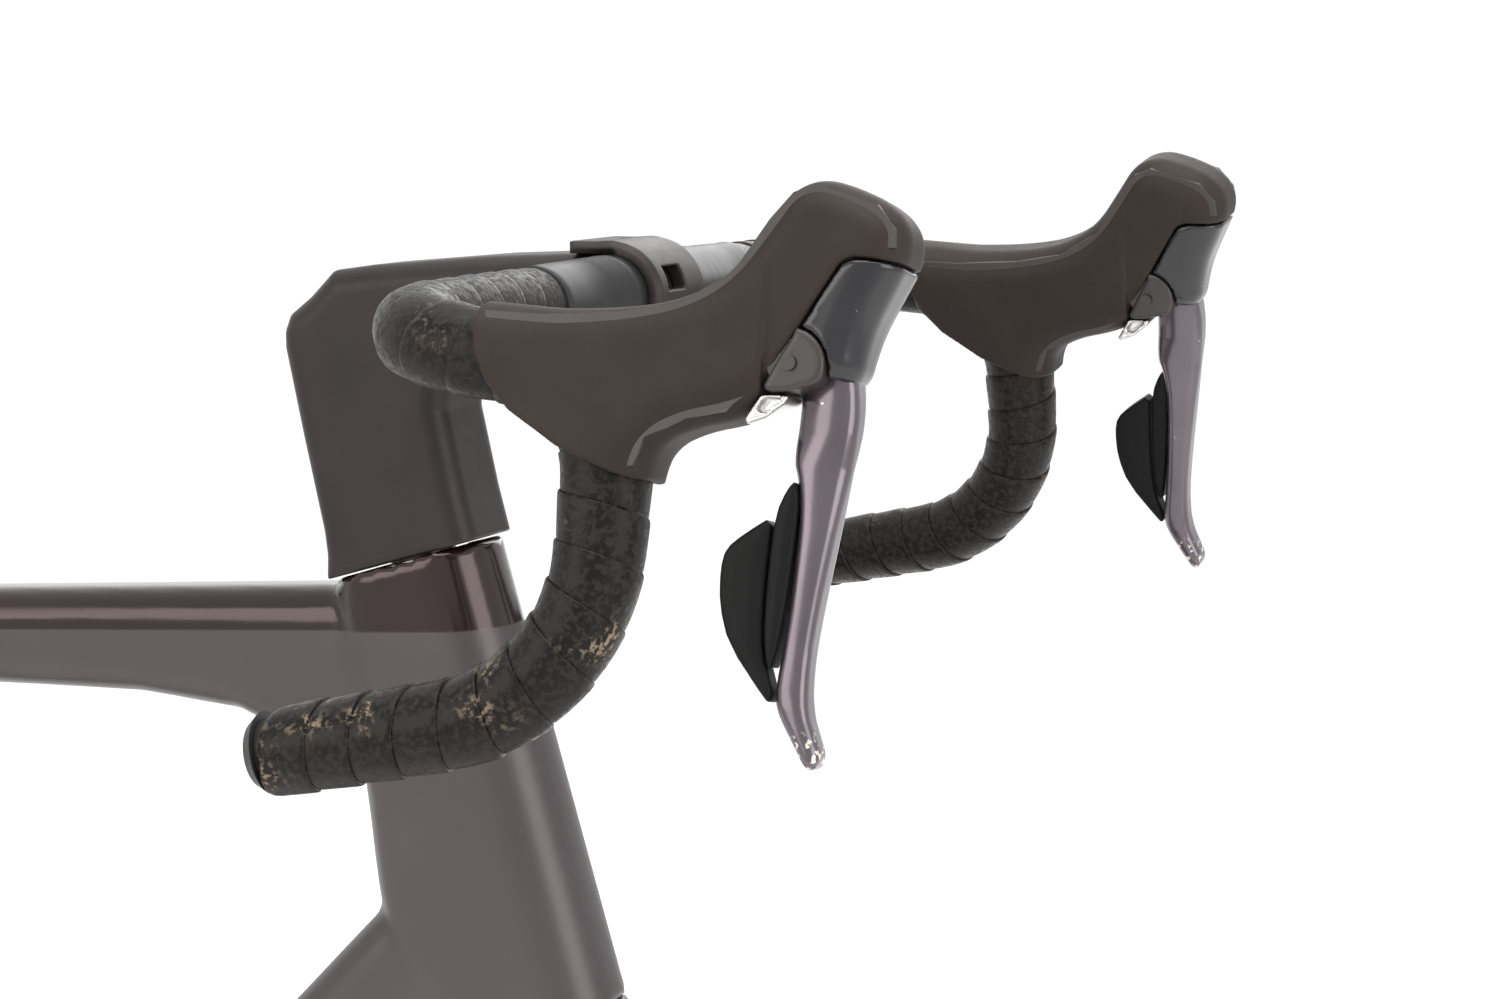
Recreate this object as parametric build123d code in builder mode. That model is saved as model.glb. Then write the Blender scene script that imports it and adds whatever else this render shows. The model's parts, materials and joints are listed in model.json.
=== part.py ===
"""A road bicycle with a carbon frame, disc brakes, flared drop bars and two electric shift-brake levers.

Millimetres. +X points forwards, +Y to the rider's left and +Z up. The origin lies on the ground,
midway between the wheels. Left-hand pieces are mirror images of the right-hand ones.
"""

import os
from math import asin, atan2, cos, hypot, pi, radians, sin, sqrt, tan

from build123d import *

os.makedirs("parts", exist_ok=True)

# ---------------------------------------------------------------- driving dimensions
wheelbase = 1010.0
wheel_radius = 339.0
tyre_width = 28.0
head_angle = 73.5
seat_angle = 73.5
head_tube_length = 200.0
fork_offset = 44.0
crown_to_axle = 369.4  # measured along the steering axis
bb_drop = 72.0
chainstay_length = 410.0
seat_tube_length = 575.0
saddle_height = 800.0  # bottom bracket to saddle top, along the seat tube
stem_length = 126.0  # steering axis to bar, square to the axis
bar_rise = 280.0  # crown race to bar centre, along the axis
bar_width = 429.0  # centre to centre at the ends of the tops
bar_reach = 91.0
bar_drop = 146.0
bar_flare = 12.0  # degrees that the plane of each drop leans out at the bottom
bar_toe = 2.0  # degrees that it opens out towards the rear
crank_length = 172.5
front_hub_width = 100.0
rear_hub_width = 142.0
front_rotor_radius = 80.0
rear_rotor_radius = 70.0
steering_clearance = 0.5  # the turning crown and cover to the ends of the head tube
running_clearance = 0.05  # radial, a shaft in its bearing
seat_gap = 0.2  # a piece to what it is seated on

# ---------------------------------------------------------------- reference points and planes
rear_axle_point = Vector(-wheelbase / 2, 0, wheel_radius)
front_axle_point = Vector(wheelbase / 2, 0, wheel_radius)
bb_point = rear_axle_point + Vector(sqrt(chainstay_length**2 - bb_drop**2), 0, -bb_drop)
steer_up = Vector(-cos(radians(head_angle)), 0, sin(radians(head_angle)))
steer_forward = Vector(sin(radians(head_angle)), 0, cos(radians(head_angle)))
crown_race = front_axle_point - steer_forward * fork_offset + steer_up * crown_to_axle
seat_up = Vector(-cos(radians(seat_angle)), 0, sin(radians(seat_angle)))
seat_forward = Vector(sin(radians(seat_angle)), 0, cos(radians(seat_angle)))


def steer_point(along, forward=0.0, left=0.0):
    """A point by its distance up the steering axis from the crown race, and off that axis."""
    return crown_race + steer_up * along + steer_forward * forward + Vector(0, left, 0)


def steer_plane(along, forward=0.0, left=0.0):
    """A plane square to the steering axis: its x points forwards and its y to the left."""
    return Plane(origin=steer_point(along, forward, left), x_dir=steer_forward, z_dir=steer_up)


def seat_point(along, forward=0.0):
    """A point by its distance up the seat tube from the bottom bracket."""
    return bb_point + seat_up * along + seat_forward * forward


def seat_plane(along, forward=0.0):
    """A plane square to the seat tube: its x points forwards and its y to the left."""
    return Plane(origin=seat_point(along, forward), x_dir=seat_forward, z_dir=seat_up)


def cross_plane(point, direction):
    """A plane square to a tube's direction: its x is level and its y points up."""
    return Plane(origin=point, x_dir=Vector(0, 0, 1).cross(direction), z_dir=direction)


def radial_plane(centre):
    """A plane through an axle along Y: its x is the distance along the axle and its y the radius."""
    return Plane(origin=centre, x_dir=(0, 1, 0), z_dir=(1, 0, 0))


def side_plane(centre, y=0.0):
    """An upright plane that faces the rider's right, at y: its x points forwards and its y up."""
    return Plane(origin=(centre.X, y, centre.Z), x_dir=(1, 0, 0), z_dir=(0, -1, 0))


def axle(centre, radius, start, end, mode=Mode.ADD):
    """A cylinder along Y about a centre, from y = start to the smaller y = end."""
    with BuildSketch(side_plane(centre, start)) as disc:
        Circle(radius)
    extrude(disc.sketch, amount=start - end, mode=mode)


def spin(centre, outline):
    """A solid of revolution about an axle along Y, from (y, radius) points."""
    with BuildSketch(radial_plane(centre)) as section:
        with BuildLine():
            Polyline(*outline, close=True)
        make_face()
    revolve(section.sketch, axis=Axis(centre, (0, 1, 0)))


def link(first, first_radius, second, second_radius):
    """A flat outline that wraps two circles."""
    with Locations(first):
        Circle(first_radius)
    with Locations(second):
        Circle(second_radius)
    make_hull()


def toothed(teeth, root_radius, tip_radius):
    """A toothed outline: each tooth narrows from its root to its tip."""
    outline = []
    for tooth in range(teeth):
        for share, radius in [(-0.32, root_radius), (-0.13, tip_radius), (0.13, tip_radius), (0.32, root_radius)]:
            angle = 2 * pi * (tooth + share) / teeth
            outline.append((radius * cos(angle), radius * sin(angle)))
    Polygon(*outline, align=None)


def rounded_path(points, radii):
    """Straight runs through the points, joined by tangent arcs of the given radii."""
    start = points[0]
    for before, corner, after, radius in zip(points, points[1:], points[2:], radii):
        back, ahead = (before - corner).normalized(), (after - corner).normalized()
        half = radians(back.get_angle(ahead)) / 2
        reach = radius / tan(half)
        middle = corner + (back + ahead).normalized() * (radius / sin(half) - radius)
        Line(start, corner + back * reach)
        ThreePointArc(corner + back * reach, middle, corner + ahead * reach)
        start = corner + ahead * reach
    Line(start, points[-1])


def save(name, built):
    """Labels a finished piece and writes it."""
    built.part.label = name
    export_step(built.part, f"parts/{name}.step")


def save_pair(name, built):
    """Writes a right-hand piece and its left-hand mirror image."""
    save(f"right_{name}", built)
    with BuildPart() as twin:
        mirror(built.part, about=Plane.XZ)
    save(f"left_{name}", twin)


# ---------------------------------------------------------------- frame
steerer_radius = 14.3
steerer_gap = 3.0  # head tube bore to steerer
upper_bearing_radius = 20.5
lower_bearing_radius = 21.5
bearing_height = 7.0
bearing_recess = 0.5  # each face of a bearing below the end of its bore
head_tube_width = 52.0
nose_reach = 34.0  # steering axis to the front of the head tube
crown_swing_radius = 40.0  # room for the turning crown under the head tube
shoulder_swing_radius = 53.0  # and for the fork's shoulders below it
shoulder_depth = 24.0
bb_shell_width = 86.5
bb_cup_radius = 20.5
spindle_radius = 12.0
thru_axle_radius = 6.0
dropout_radius = 15.0
dropout_thickness = 6.0
dropout_gap = 0.3  # dropout to hub end
hanger_drop = Vector(-7, -28)  # rear axle to the derailleur's bolt, forwards and up
hanger_bolt_radius = 5.0
boss_radius = 2.1
boss_depth = 14.0
boss_spacing = 64.0
down_tube_boss = 250.0  # the upper bottle boss, from the down tube's top
seat_tube_boss = 250.0  # the lower one, up the seat tube
post_depth = 36.0
post_width = 24.0
post_socket_depth = 110.0

# Each head tube section: distance up the axis, reach behind the axis.
head_tube_sections = [(0, 38), (45, 60), (90, 55), (140, 48), (head_tube_length, 38)]
# Each top tube section: x, top z, bottom z, width.
top_tube_sections = [
    (286, 861, 778, 42),
    (252, 858, 788, 41),
    (215, 855.5, 802, 40),
    (165, 852, 806, 39),
    (85, 846.5, 804, 38),
    (-90, 834, 795, 36),
    (-256, 822, 786, 33),
]
# Each down tube section: share of the way down to the bottom bracket, depth, width.
down_tube_sections = [(0.0, 74, 44), (0.12, 74, 50), (0.5, 70, 54), (0.82, 64, 58), (1.0, 50, 62)]
down_tube_top = Vector(318, 0, 704)
# Each seat tube section: distance up the tube, depth, width.
seat_tube_sections = [(0, 44, 52), (90, 38, 42), (300, 42, 36), (440, 52, 37), (seat_tube_length, 52, 37)]
# Each stay section: x, y, z, height, width.
chainstay_sections = [
    (-116, 18, 266, 36, 14),
    (-165, 28, 272, 34, 13),
    (-215, 30.5, 281, 30, 13),
    (-300, 41, 297, 26, 14),
    (-400, 58, 318, 22, 13),
    (-450, 69, 329, 20, 11),
    (-490, 74.3, 337, 20, 5.6),
]
seatstay_sections = [
    (-229, 10, 706, 26, 14),
    (-262, 24, 667, 24, 11),
    (-330, 36, 578, 22, 10),
    (-430, 58, 446, 20, 10),
    (-495, 74.3, 356, 18, 5.6),
]

rear_dropout_inside = rear_hub_width / 2
down_tube_way = bb_point - down_tube_top
down_tube_direction = down_tube_way.normalized()
down_tube_rise = Vector(down_tube_direction.Z, 0, -down_tube_direction.X)


def stay(sections, side):
    """Lofts one stay through its sections, on the right (-1) or the left (+1)."""
    points = [Vector(x, side * y, z) for x, y, z, _, _ in sections]
    outlines = []
    for index, (_, _, _, height, width) in enumerate(sections):
        before, after = points[max(index - 1, 0)], points[min(index + 1, len(points) - 1)]
        with BuildSketch(cross_plane(points[index], after - before)) as outline:
            Ellipse(width / 2, height / 2)
        outlines.append(outline.sketch)
    loft(outlines)


with BuildPart() as frame:
    for along, back in head_tube_sections:
        with BuildSketch(steer_plane(along, (nose_reach - back) / 2)):
            RectangleRounded(nose_reach + back, head_tube_width, head_tube_width * 0.46)
    loft()
    for x, top, bottom, width in top_tube_sections:
        with BuildSketch(cross_plane(Vector(x, 0, (top + bottom) / 2), Vector(-1, 0, -0.07))):
            RectangleRounded(width, top - bottom, width * 0.36)
    loft(ruled=True)
    for share, depth, width in down_tube_sections:
        with BuildSketch(cross_plane(down_tube_top + down_tube_way * share, down_tube_direction)):
            RectangleRounded(width, depth, min(width, depth) * 0.4)
    loft()
    for along, depth, width in seat_tube_sections:
        with BuildSketch(seat_plane(along)):
            RectangleRounded(depth, width, min(width, depth) * 0.42)
    loft(ruled=True)
    axle(bb_point, bb_cup_radius + 6, bb_shell_width / 2, -bb_shell_width / 2)
    for side in (-1, 1):
        stay(chainstay_sections, side)
        stay(seatstay_sections, side)
    axle(rear_axle_point, dropout_radius, rear_dropout_inside + dropout_thickness, rear_dropout_inside)
    with BuildSketch(side_plane(rear_axle_point, -rear_dropout_inside)):
        link((0, 0), dropout_radius, tuple(hanger_drop)[:2], hanger_bolt_radius + 5)
    extrude(amount=dropout_thickness)
    # Bores for the steerer, its bearings, the bottom bracket cups, the rear axle and the seatpost.
    with BuildSketch(steer_plane(-1)):
        Circle(steerer_radius + steerer_gap)
    extrude(amount=head_tube_length + 40, mode=Mode.SUBTRACT)
    with BuildSketch(steer_plane(head_tube_length - bearing_height)):
        Circle(upper_bearing_radius)
    extrude(amount=40, mode=Mode.SUBTRACT)
    with BuildSketch(steer_plane(bearing_height)):
        Circle(lower_bearing_radius)
    extrude(amount=-40, mode=Mode.SUBTRACT)
    axle(bb_point, bb_cup_radius, bb_shell_width, -bb_shell_width, Mode.SUBTRACT)
    axle(rear_axle_point, thru_axle_radius, 100, -100, Mode.SUBTRACT)
    hanger_point = rear_axle_point + Vector(hanger_drop.X, 0, hanger_drop.Y)
    axle(hanger_point, hanger_bolt_radius, 0, -100, Mode.SUBTRACT)
    with BuildSketch(seat_plane(seat_tube_length - post_socket_depth)):
        RectangleRounded(post_depth, post_width, post_width * 0.42)
    extrude(amount=post_socket_depth + 40, mode=Mode.SUBTRACT)
    # Threaded bosses for two bottle cages.
    for step in (0, boss_spacing):
        surface = down_tube_top + down_tube_direction * (down_tube_boss + step) + down_tube_rise * 38
        with BuildSketch(Plane(origin=surface, z_dir=down_tube_rise)):
            Circle(boss_radius)
        extrude(amount=-boss_depth, mode=Mode.SUBTRACT)
        with BuildSketch(Plane(origin=seat_point(seat_tube_boss + step, 24), z_dir=seat_forward)):
            Circle(boss_radius)
        extrude(amount=-boss_depth, mode=Mode.SUBTRACT)
    # Room under the head tube for the turning fork.
    with BuildSketch(steer_plane(0)):
        Circle(crown_swing_radius)
    with BuildSketch(steer_plane(-shoulder_depth)):
        Circle(shoulder_swing_radius)
    loft(mode=Mode.SUBTRACT)
    with BuildSketch(steer_plane(-shoulder_depth)):
        Circle(shoulder_swing_radius)
    extrude(amount=-60, mode=Mode.SUBTRACT)
save("frame", frame)

# ---------------------------------------------------------------- bearings, seatpost and saddle
with BuildPart() as headset_bearings:
    upper_seat = head_tube_length - bearing_height
    for seat, radius in [(0, lower_bearing_radius), (upper_seat, upper_bearing_radius)]:
        with BuildSketch(steer_plane(seat + bearing_recess)):
            Circle(radius)
            Circle(steerer_radius + running_clearance, mode=Mode.SUBTRACT)
        extrude(amount=bearing_height - 2 * bearing_recess)
save("headset_bearings", headset_bearings)

bb_cup_width = 14.0
with BuildPart() as bottom_bracket:
    for side in (-1, 1):
        with BuildSketch(side_plane(bb_point, side * (bb_shell_width / 2 - bb_cup_width / 2))):
            Circle(bb_cup_radius)
            Circle(spindle_radius + running_clearance, mode=Mode.SUBTRACT)
        extrude(amount=bb_cup_width / 2, both=True)
save("bottom_bracket", bottom_bracket)

post_bottom = seat_tube_length - post_socket_depth + 6
rail_radius = 3.5
rail_spacing = 44.0
rail_drop = 48.0  # saddle top to rail centres
clamp_length = 40.0
clamp_width = 56.0
clamp_height = 15.0
saddle_point = seat_point(saddle_height)
rail_height = saddle_point.Z - rail_drop
clamp_x = saddle_point.X + 12
post_top = (rail_height - clamp_height / 2 - bb_point.Z) / seat_up.Z

with BuildPart() as seatpost:
    with BuildSketch(seat_plane(post_bottom)):
        RectangleRounded(post_depth - 2 * seat_gap, post_width - 2 * seat_gap, post_width * 0.4)
    extrude(amount=post_top - post_bottom - 6)
    with BuildSketch(Plane(origin=(clamp_x, 0, rail_height - clamp_height / 2 - seat_gap))):
        RectangleRounded(clamp_length, post_width, 8)
    extrude(amount=-18)
save("seatpost", seatpost)

with BuildPart() as rail_clamp:
    with BuildSketch(Plane(origin=(clamp_x, 0, rail_height - clamp_height / 2))):
        RectangleRounded(clamp_length, clamp_width, 6)
    extrude(amount=clamp_height)
    with BuildSketch(Plane.YZ.offset(clamp_x)):
        with Locations((-rail_spacing / 2, rail_height), (rail_spacing / 2, rail_height)):
            Circle(rail_radius + running_clearance)
    extrude(amount=clamp_length, both=True, mode=Mode.SUBTRACT)
save("rail_clamp", rail_clamp)

# Each saddle section: how far ahead of the saddle point, height of its top, thickness, width.
saddle_sections = [(158, -5, 22, 30), (145, -3, 27, 38), (80, -1, 28, 46), (10, 0, 27, 82),
                   (-60, 2, 28, 134), (-100, 5, 28, 142), (-118, 6, 22, 120)]
with BuildPart() as saddle:
    for ahead, lift, thickness, width in saddle_sections:
        centre = saddle_point + Vector(ahead, 0, lift - thickness / 2)
        with BuildSketch(Plane(origin=centre, x_dir=(0, 1, 0), z_dir=(1, 0, 0))):
            RectangleRounded(width, thickness, thickness * 0.42)
    loft()
save("saddle", saddle)

nose_rail = Vector(128, 8, -34.2)
tail_rail = Vector(-94, 34, -27.6)
with BuildPart() as saddle_rails:
    for side in (-1, 1):
        route = [nose_rail, Vector(104, 16, -rail_drop), Vector(62, 22, -rail_drop),
                 Vector(-50, 22, -rail_drop), tail_rail]
        with BuildLine() as rail_line:
            rounded_path([saddle_point + Vector(p.X, side * p.Y, p.Z) for p in route], [14, 40, 30])
        with BuildSketch(Plane(origin=rail_line.line @ 0, z_dir=rail_line.line % 0)):
            Circle(rail_radius)
        sweep(path=rail_line.line)
save("saddle_rails", saddle_rails)

# ---------------------------------------------------------------- fork and what turns with it
steerer_top = bar_rise + 22.0
steerer_bore_radius = 11.5
crown_depth = 68.0
crown_width = 50.0
shoulder_width = 86.0
wheel_room = 6.5  # tyre to fork, beside and above
fork_end_radius = 12.0
fork_end_thickness = 7.0
front_rotor_y = 33.6
rotor_thickness = 1.8
caliper_boss_low = 42.0  # above the axle, along the steering axis
caliper_boss_back = fork_offset - 24.8
caliper_boss_length = 36.0
# Each leg section: distance down the axis, forward, left, depth, width.
leg_sections = [
    (-14, 0, 31, 44, 20),
    (-60, 4, 34.5, 42, 17),
    (-140, 14, 41, 36, 15),
    (-230, 26, 48, 30, 13),
    (-320, 38, 53.2, 24, 9.5),
    (-366, 43.6, 53.5, 22, 6.4),
]

front_dropout_inside = front_hub_width / 2
with BuildPart() as fork:
    with BuildSketch(steer_plane(-steering_clearance)):
        RectangleRounded(crown_depth, crown_width, crown_width * 0.46)
    with BuildSketch(steer_plane(-shoulder_depth)):
        RectangleRounded(crown_depth - 16, shoulder_width, 24)
    loft()
    for side in (-1, 1):
        for along, forward, left, depth, width in leg_sections:
            with BuildSketch(steer_plane(along, forward, side * left)):
                Ellipse(depth / 2, width / 2)
        loft()
    axle(front_axle_point, fork_end_radius, front_dropout_inside + fork_end_thickness, front_dropout_inside)
    axle(front_axle_point, fork_end_radius, -front_dropout_inside, -front_dropout_inside - fork_end_thickness)
    with BuildSketch(steer_plane(-crown_to_axle + caliper_boss_low, caliper_boss_back)):
        with Locations((0, front_dropout_inside - 1)):
            Rectangle(12, 10, align=Align.MIN)
    extrude(amount=caliper_boss_length)
    with BuildSketch(steer_plane(-steering_clearance)):
        Circle(steerer_radius)
    extrude(amount=steerer_top + steering_clearance)
    with BuildSketch(steer_plane(6)):
        Circle(steerer_bore_radius)
    extrude(amount=steerer_top, mode=Mode.SUBTRACT)
    with BuildSketch(side_plane(front_axle_point, tyre_width / 2 + wheel_room)):
        Circle(wheel_radius + wheel_room)
    extrude(amount=tyre_width + 2 * wheel_room, mode=Mode.SUBTRACT)
    axle(front_axle_point, thru_axle_radius, 100, -100, Mode.SUBTRACT)
save("fork", fork)

plug_height = 40.0
with BuildPart() as steerer_plug:
    with BuildSketch(steer_plane(steerer_top - plug_height)):
        Circle(steerer_bore_radius - running_clearance)
        RegularPolygon(3, 6, mode=Mode.SUBTRACT)
    extrude(amount=plug_height)
    with BuildSketch(steer_plane(steerer_top + seat_gap)):
        Circle(steerer_radius)
        RegularPolygon(3, 6, mode=Mode.SUBTRACT)
    extrude(amount=2.5)
    with BuildSketch(steer_plane(steerer_top - 1)):
        Circle(steerer_bore_radius - running_clearance)
        RegularPolygon(3, 6, mode=Mode.SUBTRACT)
    extrude(amount=2)
save("steerer_plug", steerer_plug)

cover_width = 46.0
cover_top = 262.0
# Each cover section: distance up the axis, reach behind it and ahead of it.
cover_sections = [
    (head_tube_length + steering_clearance, 38.5, 34.2),
    (head_tube_length + 21, 33.6, 34.8),
    (cover_top, 31, 37),
]
with BuildPart() as steerer_cover:
    for along, back, front in cover_sections:
        with BuildSketch(steer_plane(along, (front - back) / 2)):
            RectangleRounded(front + back, cover_width, cover_width * 0.4)
    loft(ruled=True)
    with BuildSketch(steer_plane(head_tube_length)):
        Circle(steerer_radius + running_clearance)
    extrude(amount=100, mode=Mode.SUBTRACT)
save("steerer_cover", steerer_cover)

bar_point = steer_point(bar_rise, stem_length)
bar_clamp_radius = 15.9
stem_width = 47.0
ring_radius = 22.0
stem_top = 16.8  # above the bar's centre, at the clamp
lug_reach = 19.0
bolt_radius = 2.0
bolt_head_radius = 3.4
bolt_spacing = 30.0
clamp_split = 0.3
lug_drop = 26.0
lug_bolt_x = -15.0  # from the bar's centre
lug_bolt_depth = 6.5
lower_bolt_z = -20.5
lower_bolt_depth = 13.0
lower_lug_front = 14.0


def lug_bolt(radius, top, depth, mode=Mode.ADD):
    """Two upright cylinders through the faceplate's top lug, down from a height above the bar."""
    with BuildSketch(Plane(origin=(bar_point.X + lug_bolt_x, 0, bar_point.Z + top))) as discs:
        with Locations((0, -bolt_spacing / 2), (0, bolt_spacing / 2)):
            Circle(radius)
    extrude(discs.sketch, amount=-depth, mode=mode)


def lower_bolt(radius, front, depth, mode=Mode.ADD):
    """Two level cylinders through the faceplate's lower lug, back from a distance ahead of the bar."""
    with BuildSketch(Plane.YZ.offset(bar_point.X + front)) as discs:
        with Locations((-bolt_spacing / 2, bar_point.Z + lower_bolt_z), (bolt_spacing / 2, bar_point.Z + lower_bolt_z)):
            Circle(radius)
    extrude(discs.sketch, amount=-depth, mode=mode)


with BuildPart() as stem:
    collar_back = steer_point(cover_top + seat_gap, -31)
    collar_front = steer_point(cover_top + seat_gap, 37)
    rear_corner = steer_point(bar_rise + 30, -27.5)
    with BuildSketch(Plane(origin=(0, stem_width / 2, 0), x_dir=(1, 0, 0), z_dir=(0, -1, 0))):
        with BuildLine():
            Polyline(
                (collar_back.X, collar_back.Z),
                (rear_corner.X, rear_corner.Z),
                (rear_corner.X + 10, rear_corner.Z + 10),
                (rear_corner.X + 41, bar_point.Z + 9.8),
                (bar_point.X - 60, bar_point.Z + 14.7),
                (bar_point.X - lug_reach, bar_point.Z + stem_top),
                (bar_point.X - clamp_split, bar_point.Z + stem_top),
                (bar_point.X - clamp_split, bar_point.Z - lug_drop),
                (bar_point.X - 14, bar_point.Z - lug_drop),
                (collar_front.X + 12, collar_front.Z + 10),
                (collar_front.X, collar_front.Z),
                close=True,
            )
        make_face()
    extrude(amount=stem_width)
    axle(bar_point, bar_clamp_radius + running_clearance, 60, -60, Mode.SUBTRACT)
    with BuildSketch(steer_plane(cover_top)):
        Circle(steerer_radius + running_clearance)
    extrude(amount=steerer_top - cover_top + 3, mode=Mode.SUBTRACT)
    lug_bolt(bolt_radius, stem_top, lug_bolt_depth + 1, Mode.SUBTRACT)
    lower_bolt(bolt_radius, 0, lower_bolt_depth + 1, Mode.SUBTRACT)
save("stem", stem)

with BuildPart() as stem_faceplate:
    with BuildSketch(Plane(origin=(bar_point.X, stem_width / 2, bar_point.Z), x_dir=(1, 0, 0), z_dir=(0, -1, 0))):
        Circle(ring_radius)
        with Locations((-lug_reach, stem_top)):
            Rectangle(lug_reach, ring_radius - stem_top, align=Align.MIN)
        with Locations((0, -lug_drop)):
            Rectangle(lower_lug_front, lug_drop, align=Align.MIN)
        with Locations((0, stem_top + seat_gap)):
            Rectangle(2 * ring_radius, 3 * ring_radius, align=Align.MAX, mode=Mode.SUBTRACT)
        Circle(bar_clamp_radius + running_clearance, mode=Mode.SUBTRACT)
    extrude(amount=stem_width)
    lug_bolt(bolt_radius, ring_radius + 1, 10, Mode.SUBTRACT)
    lower_bolt(bolt_radius, ring_radius, 2 * ring_radius, Mode.SUBTRACT)
save("stem_faceplate", stem_faceplate)

bolt_head = 2.5
with BuildPart() as stem_bolts:
    lug_bolt(bolt_radius - running_clearance, ring_radius, ring_radius - stem_top + lug_bolt_depth)
    lug_bolt(bolt_head_radius, ring_radius + bolt_head, bolt_head)
    lug_bolt(1.5, ring_radius + bolt_head, 1.5, Mode.SUBTRACT)
    lower_bolt(bolt_radius - running_clearance, lower_lug_front, lower_lug_front + lower_bolt_depth)
    lower_bolt(bolt_head_radius, lower_lug_front + bolt_head, bolt_head)
    lower_bolt(1.5, lower_lug_front + bolt_head, 1.5, Mode.SUBTRACT)
save("stem_bolts", stem_bolts)

# ---------------------------------------------------------------- handlebar and tape
bar_radius = 12.0
tape_radius = 15.4
tape_start = 91.0
plug_radius = 14.6
clamp_half_width = 32.0
taper_half_width = 62.0
top_bend_radius = 42.0
ramp_bend_radius = 38.0
drop_bend_radius = 66.0
ramp_fall = 12.0
drop_corner_height = -121.0
bar_end = (-26.0, -bar_drop)  # in the drop's plane, from the bar's centre

drop_forward = Vector(cos(radians(bar_toe)), sin(radians(bar_toe)), 0)
drop_rise = Vector(0, sin(radians(bar_flare)), cos(radians(bar_flare)))
drop_outward = drop_forward.cross(drop_rise).normalized()
drop_up = drop_outward.cross(drop_forward)
drop_origin = bar_point - Vector(0, bar_width / 2, 0)


def drop_plane(outward=0.0):
    """The plane of the right-hand drop: its x points forwards and its y up."""
    return Plane(origin=drop_origin + drop_outward * outward, x_dir=drop_forward, z_dir=drop_outward)


def drop_point(forward, up, outward=0.0):
    """A point by its place in the plane of the right-hand drop."""
    return drop_origin + drop_forward * forward + drop_up * up + drop_outward * outward


bar_route = [bar_point, drop_origin, drop_point(bar_reach, -ramp_fall),
             drop_point(bar_reach, drop_corner_height), drop_point(*bar_end)]
bar_bends = [top_bend_radius, ramp_bend_radius, drop_bend_radius]
with BuildLine() as bar_line:
    rounded_path(bar_route, bar_bends)


def tube_along(wire, radius):
    """A round bar swept along a wire."""
    with BuildSketch(Plane(origin=wire @ 0, z_dir=wire % 0)) as section:
        Circle(radius)
    sweep(section.sketch, path=wire)


with BuildPart() as handlebar:
    tube_along(bar_line.line, bar_radius)
    mirror(about=Plane.XZ)
    spin(bar_point, [(-taper_half_width, 0), (-taper_half_width, bar_radius), (-clamp_half_width, bar_clamp_radius),
                     (clamp_half_width, bar_clamp_radius), (taper_half_width, bar_radius), (taper_half_width, 0)])
save("handlebar", handlebar)

hood_entry = 52.0  # how far ahead of the bar's centre the tape goes under the hood
hood_exit = -42.0  # how low the tape comes out below it
tape_gap = 0.1
plug_gap = 0.2
drop_direction = (bar_route[4] - bar_route[3]).normalized()


def tape_run(route, bends):
    """A layer of tape about the bar, along part of its route."""
    with BuildLine() as run_line:
        rounded_path(route, bends)
    tube_along(run_line.line, tape_radius)


with BuildPart() as bar_tape:
    entry = drop_point(hood_entry, -ramp_fall * hood_entry / bar_reach)
    tape_run([bar_point - Vector(0, tape_start, 0), drop_origin, entry], [top_bend_radius])
    tape_run([drop_point(bar_reach, hood_exit), bar_route[3], bar_route[4]], [drop_bend_radius])
    with BuildSketch(Plane(origin=bar_line.line @ 0, z_dir=bar_line.line % 0)):
        Circle(bar_radius + tape_gap)
    sweep(path=bar_line.line, mode=Mode.SUBTRACT)
save_pair("bar_tape", bar_tape)

with BuildPart() as bar_end_plugs:
    plug_plane = Plane(origin=bar_route[4] + drop_direction * plug_gap, z_dir=drop_direction)
    with BuildSketch(plug_plane):
        Circle(plug_radius)
    with BuildSketch(plug_plane.offset(4)):
        Circle(plug_radius - 3)
    loft()
    mirror(about=Plane.XZ)
save("bar_end_plugs", bar_end_plugs)

# ---------------------------------------------------------------- lever brackets and hoods
hood_half_width = 18.0
hood_wall = 2.4
hood_tube_radius = 15.6
pivot = (158.8, -7.4)
ear_radius = 8.0
ear_inside = 10.8
pin_radius = 2.5
barrel_radius = 7.0
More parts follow.
